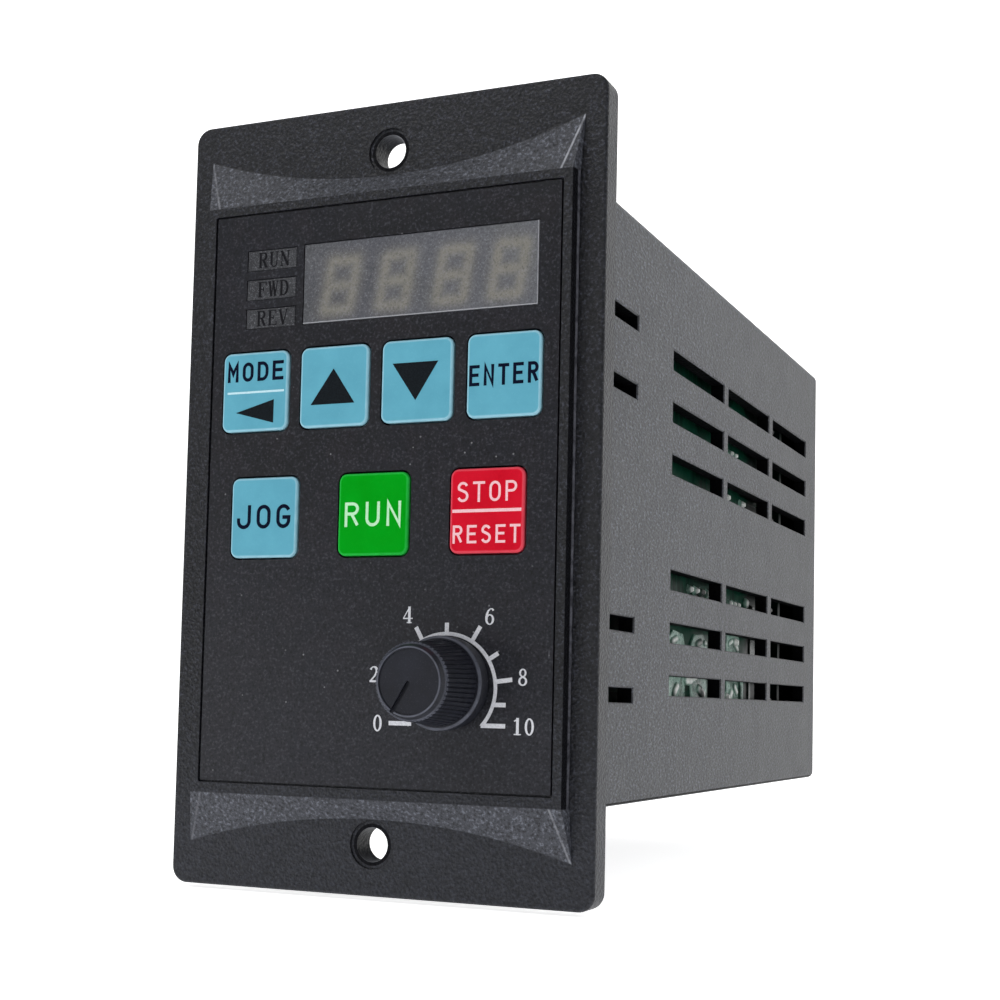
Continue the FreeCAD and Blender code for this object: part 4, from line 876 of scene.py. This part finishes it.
print_solid("legend_down", [shape([(x - 3.5, z + 2.36), (x + 3.05, z + 2.36), (x - 0.1, z - 2.58)])], KY - INK_UP, KY + INK_DOWN,
            M["ink_dark"], "down_key")
x, z = KEYC["enter_key"]
print_solid("legend_enter", plain_word("ENTER", x, z + 0.05, 2.68, 1.42, 2.0, 0.43), KY - INK_UP, KY + INK_DOWN,
            M["ink_navy"], "enter_key")
x, z = KEYC["jog_key"]
print_solid("legend_jog", plain_word("JOG", x, z + 0.1, 3.2, 2.15, 3.05, 0.50), KY - INK_UP, KY + INK_DOWN,
            M["ink_navy"], "jog_key")
x, z = KEYC["run_key"]
print_solid("legend_run", plain_word("RUN", x, z, 3.2, 2.05, 3.05, 0.40), KY - INK_UP, KY + INK_DOWN,
            M["ink_white"], "run_key")
x, z = KEYC["stop_reset_key"]
print_solid("legend_stop", plain_word("STOP", x, z + 2.4, 2.55, 1.55, 2.2, 0.32), KY - INK_UP, KY + INK_DOWN,
            M["ink_pink"], "stop_reset_key")
print_solid("legend_stop_divider", [line([(x - 4.7, z), (x + 4.7, z)], 0.40)], KY - INK_UP, KY + INK_DOWN,
            M["ink_pink"], "stop_reset_key")
print_solid("legend_reset", plain_word("RESET", x, z - 2.95, 2.3, 1.34, 1.96, 0.32), KY - INK_UP, KY + INK_DOWN,
            M["ink_pink"], "stop_reset_key")

IX = (-20.2 - 12.65) / 2 + 0.3
for word, zc in (("RUN", 31.9), ("FWD", 27.9), ("REV", 23.95)):
    print_solid("legend_lamp_" + word.lower(), book_word(word, IX, zc, 2.1, 1.5, 1.68, 1.15), OY - INK_UP, OY + INK_DOWN,
                M["ink_grey"], "chassis")

# dial: arc, ticks and numbers
DX, DZ, DR = 10.8, -25.2, 6.83
dial = [line([(DX + DR * math.cos(math.radians(a)), DZ + DR * math.sin(math.radians(a)))
              for a in np.linspace(224.0, -43.0, 90)], 0.48)]


def tick(deg, length, wd=0.56):
    c, s = math.cos(math.radians(deg)), math.sin(math.radians(deg))
    dial.append(line([(DX + DR * c, DZ + DR * s), (DX + (DR + length) * c, DZ + (DR + length) * s)], wd))


for deg, length in ((119.4, 1.95), (90.0, 1.38), (59.3, 2.2), (32.0, 1.55), (7.5, 2.3), (148.0, 1.5), (172.5, 2.2)):
    tick(deg, length)
for x0, x1, zz in ((17.2, 19.05, -27.15), (15.75, 19.05, -29.75), (2.55, 4.4, -27.15), (2.95, 6.15, -29.75)):
    dial.append(line([(x0, zz), (x1, zz)], 0.56))
print_solid("dial_scale", dial, OY - INK_UP, OY + INK_DOWN, M["ink_dial"], "chassis")
numbers = []
for word, cx, cz in (("4", 5.3, -16.0), ("6", 16.65, -16.2), ("8", 21.25, -23.7), ("2", 0.65, -23.6), ("0", 1.35, -29.8),
                     ("1", 20.65, -29.75), ("0", 22.25, -29.75)):
    numbers += book_word(word, cx, cz, 2.12, 1.42, 1.5, 1.08)
print_solid("dial_numbers", numbers, OY - INK_UP, OY + INK_DOWN, M["ink_dial"], "chassis")

# ====================================================================== display lens with the figures glowing faintly through
LX0, LX1, LZ0, LZ1 = -11.4, 22.2, 22.75, 33.4
LY, LC, LYB = -5.58, 0.14, -4.5
NX, NZ = 240, 78
xs = np.linspace(LX0 + LC, LX1 - LC, NX)
zs = np.linspace(LZ0 + LC, LZ1 - LC, NZ)
gx, gz = np.meshgrid(xs, zs)
px, pz = gx.ravel(), gz.ravel()


def seg_distance(px, pz, a, b):
    ax, az = a
    bx, bz = b
    dx, dz = bx - ax, bz - az
    t = np.clip(((px - ax) * dx + (pz - az) * dz) / (dx * dx + dz * dz), 0, 1)
    return np.hypot(px - ax - t * dx, pz - az - t * dz)


glow = np.zeros(len(px))
SL = math.tan(math.radians(9))
for cx in (-5.76, 2.35, 10.55, 18.25):
    cz = 27.45 if cx < 15 else 27.55
    u = px - cx - (pz - cz) * SL
    v = pz - cz
    hw, hh = 1.85, 3.25
    best = np.full(len(px), 99.0)
    for a, b in (((-hw + .2, hh), (hw - .2, hh)), ((-hw + .2, 0), (hw - .2, 0)), ((-hw + .2, -hh), (hw - .2, -hh)),
                 ((-hw, .25), (-hw, hh - .2)), ((hw, .25), (hw, hh - .2)), ((-hw, -.25), (-hw, -hh + .2)),
                 ((hw, -.25), (hw, -hh + .2))):
        best = np.minimum(best, seg_distance(u, v, a, b))
    soft = 0.32 if cx < 0 else (0.28 if cx < 5 else 0.24)
    near = 1.0 / (1.0 + np.exp((best - 0.60) / soft))
    halo = 0.24 * np.exp(-(best / 1.7) ** 2)
    glow = np.maximum(glow, np.clip(near * 0.9 + halo, 0, 1))

verts = [(a * MM, LY * MM, b * MM) for a, b in zip(px, pz)]
faces = []
for j in range(NZ - 1):
    for i in range(NX - 1):
        a = j * NX + i
        faces.append((a, a + 1, a + NX + 1, a + NX))
loop = [(i, 0) for i in range(NX - 1)] + [(NX - 1, j) for j in range(NZ - 1)] + \
       [(i, NZ - 1) for i in range(NX - 1, 0, -1)] + [(0, j) for j in range(NZ - 1, 0, -1)]
ids = [j * NX + i for i, j in loop]
glow = list(glow)
prev = ids


def outer(i, j, y):
    ax = LX0 if i == 0 else (LX1 if i == NX - 1 else xs[i])
    az = LZ0 if j == 0 else (LZ1 if j == NZ - 1 else zs[j])
    return (ax * MM, y * MM, az * MM)


for y in (LY + LC, LYB):
    cur = []
    for (i, j), src in zip(loop, ids):
        cur.append(len(verts))
        verts.append(outer(i, j, y))
        glow.append(0.0)
    m = len(cur)
    for n in range(m):
        faces.append((prev[n], cur[n], cur[(n + 1) % m], prev[(n + 1) % m]))
    prev = cur
faces.append(tuple(prev))
me = bpy.data.meshes.new("display_lens_piece")
me.from_pydata(verts, [], faces)
me.update()
at = me.attributes.new("digit", "FLOAT", "POINT")
at.data.foreach_set("value", np.array(glow, np.float32))
me.materials.append(M["lens"])
lens_ob = bpy.data.objects.new("display_lens_piece", me)
bpy.context.scene.collection.objects.link(lens_ob)
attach(lens_ob, "chassis")
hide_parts("display_window")

# ====================================================================== floor, backdrop, light
LO, HI = SIZE_START


def stage_mesh():
    """Pale floor that curves up into a backdrop far behind."""
    z0 = LO.z - 0.0006
    prof = [(-1.2, 0.0), (0.9, 0.0)]
    for i in range(1, 17):
        a = math.radians(90 * i / 16)
        prof.append((0.9 + 0.5 * math.sin(a), 0.5 - 0.5 * math.cos(a)))
    prof.append((1.4, 2.2))
    vs, fs = [], []
    for y, z in prof:
        vs += [(-3.0, y, z0 + z), (3.0, y, z0 + z)]
    for i in range(len(prof) - 1):
        fs.append((2 * i, 2 * i + 1, 2 * i + 3, 2 * i + 2))
    me = bpy.data.meshes.new("stage_floor")
    me.from_pydata(vs, [], fs)
    me.update()
    for p in me.polygons:
        p.use_smooth = True
    return me


k = Mat("stage_paper", 1.45, 0.05)
k.colour(k.mix(k.span(k.noise(220.0, 2.0), 0.3, 0.7), (0.93, 0.93, 0.93, 1), (0.95, 0.95, 0.95, 1)))
k.rough(k.span(k.noise(60.0, 2.0), 0.3, 0.7, 0.86, 0.94))
k.b.inputs["Emission Color"].default_value = (1, 1, 1, 1)
k.b.inputs["Emission Strength"].default_value = 0.80
sm = stage_mesh()
sm.materials.append(k.m)
st = bpy.data.objects.new("stage_floor", sm)
bpy.context.scene.collection.objects.link(st)

world = bpy.data.worlds.new("studio")
bpy.context.scene.world = world
world.use_nodes = True
wn = world.node_tree
wn.nodes.clear()
wo = wn.nodes.new("ShaderNodeOutputWorld")
bg = wn.nodes.new("ShaderNodeBackground")
bg.inputs["Color"].default_value = (0.97, 0.985, 1.0, 1)
wt = wn.nodes.new("ShaderNodeTexCoord")
wx = wn.nodes.new("ShaderNodeSeparateXYZ")
wa = wn.nodes.new("ShaderNodeMath")
wa.operation = "ABSOLUTE"
wr = wn.nodes.new("ShaderNodeMapRange")
wr.interpolation_type = "SMOOTHSTEP"
for sock, val in (("From Min", 0.10), ("From Max", 0.75), ("To Min", 0.13), ("To Max", 0.42)):
    wr.inputs[sock].default_value = val
wn.links.new(wt.outputs["Generated"], wx.inputs[0])
wn.links.new(wx.outputs[2], wa.inputs[0])
wn.links.new(wa.outputs[0], wr.inputs["Value"])
wn.links.new(wr.outputs["Result"], bg.inputs["Strength"])
wn.links.new(bg.outputs[0], wo.inputs[0])


def softbox(name, loc, target, w, h, watts, colour=(1, 1, 1)):
    d = bpy.data.lights.new(name, "AREA")
    d.shape = "RECTANGLE"
    d.size, d.size_y = w, h
    d.energy = watts
    d.color = colour
    o = bpy.data.objects.new(name, d)
    bpy.context.scene.collection.objects.link(o)
    o.location = loc
    o.rotation_mode = "QUATERNION"
    o.rotation_quaternion = (Vector(target) - Vector(loc)).to_track_quat("-Z", "Y")
    return o


softbox("front_low_left", (-0.74, -0.66, -0.22), (0, 0, -0.02), 0.6, 0.5, 5.9)
softbox("front_high", (-0.30, -0.50, 0.62), (0, 0.02, 0), 0.5, 0.35, 2.6)
softbox("side_right", (0.85, 0.25, 0.25), (0, 0.06, 0), 0.7, 0.6, 1.5)
softbox("side_low", (0.48, 0.0, -0.12), (0.02, 0.03, 0), 0.25, 0.25, 0.22)

# ====================================================================== camera
F, RX, RY, RZ = 1614.0274863, -0.06668500340364612, 0.022391900396588293, -0.4166670855971675
T = np.array([-13.68787075126969, -13.34447692671363, 209.8000557678017])
PX, PY = 485.9943569, 595.5377815
Y_SHIFT = 3.735


def cam_rot(rx, ry, rz):
    cx, sx, cy, sy, cz, sz = math.cos(rx), math.sin(rx), math.cos(ry), math.sin(ry), math.cos(rz), math.sin(rz)
    B = np.array([[1, 0, 0], [0, 0, -1], [0, 1, 0]], float)
    Rz = np.array([[cz, -sz, 0], [sz, cz, 0], [0, 0, 1]])
    Rx = np.array([[1, 0, 0], [0, cx, -sx], [0, sx, cx]])
    Rr = np.array([[cy, -sy, 0], [sy, cy, 0], [0, 0, 1]])
    return Rr @ Rx @ B @ Rz


R = cam_rot(RX, RY, RZ)
pos = -R.T @ T
pos[1] -= Y_SHIFT
cam_data = bpy.data.cameras.new("camera")
cam = bpy.data.objects.new("camera", cam_data)
bpy.context.scene.collection.objects.link(cam)
cols = [R[0], -R[1], -R[2]]
mw = Matrix(((cols[0][0], cols[1][0], cols[2][0], pos[0] * MM),
             (cols[0][1], cols[1][1], cols[2][1], pos[1] * MM),
             (cols[0][2], cols[1][2], cols[2][2], pos[2] * MM),
             (0, 0, 0, 1)))
cam.matrix_world = mw
cam_data.sensor_width = 36.0
cam_data.lens = F / 1000.0 * 36.0
cam_data.shift_x = (500.0 - PX) / 1000.0
cam_data.shift_y = (PY - 500.0) / 1000.0
cam_data.clip_start = 0.005
cam_data.clip_end = 50.0
cam_data.dof.use_dof = False
bpy.context.scene.camera = cam

vs = bpy.context.scene.view_settings
vs.view_transform = "Standard"
vs.look = "None"
vs.exposure = 0.0
vs.gamma = 1.0
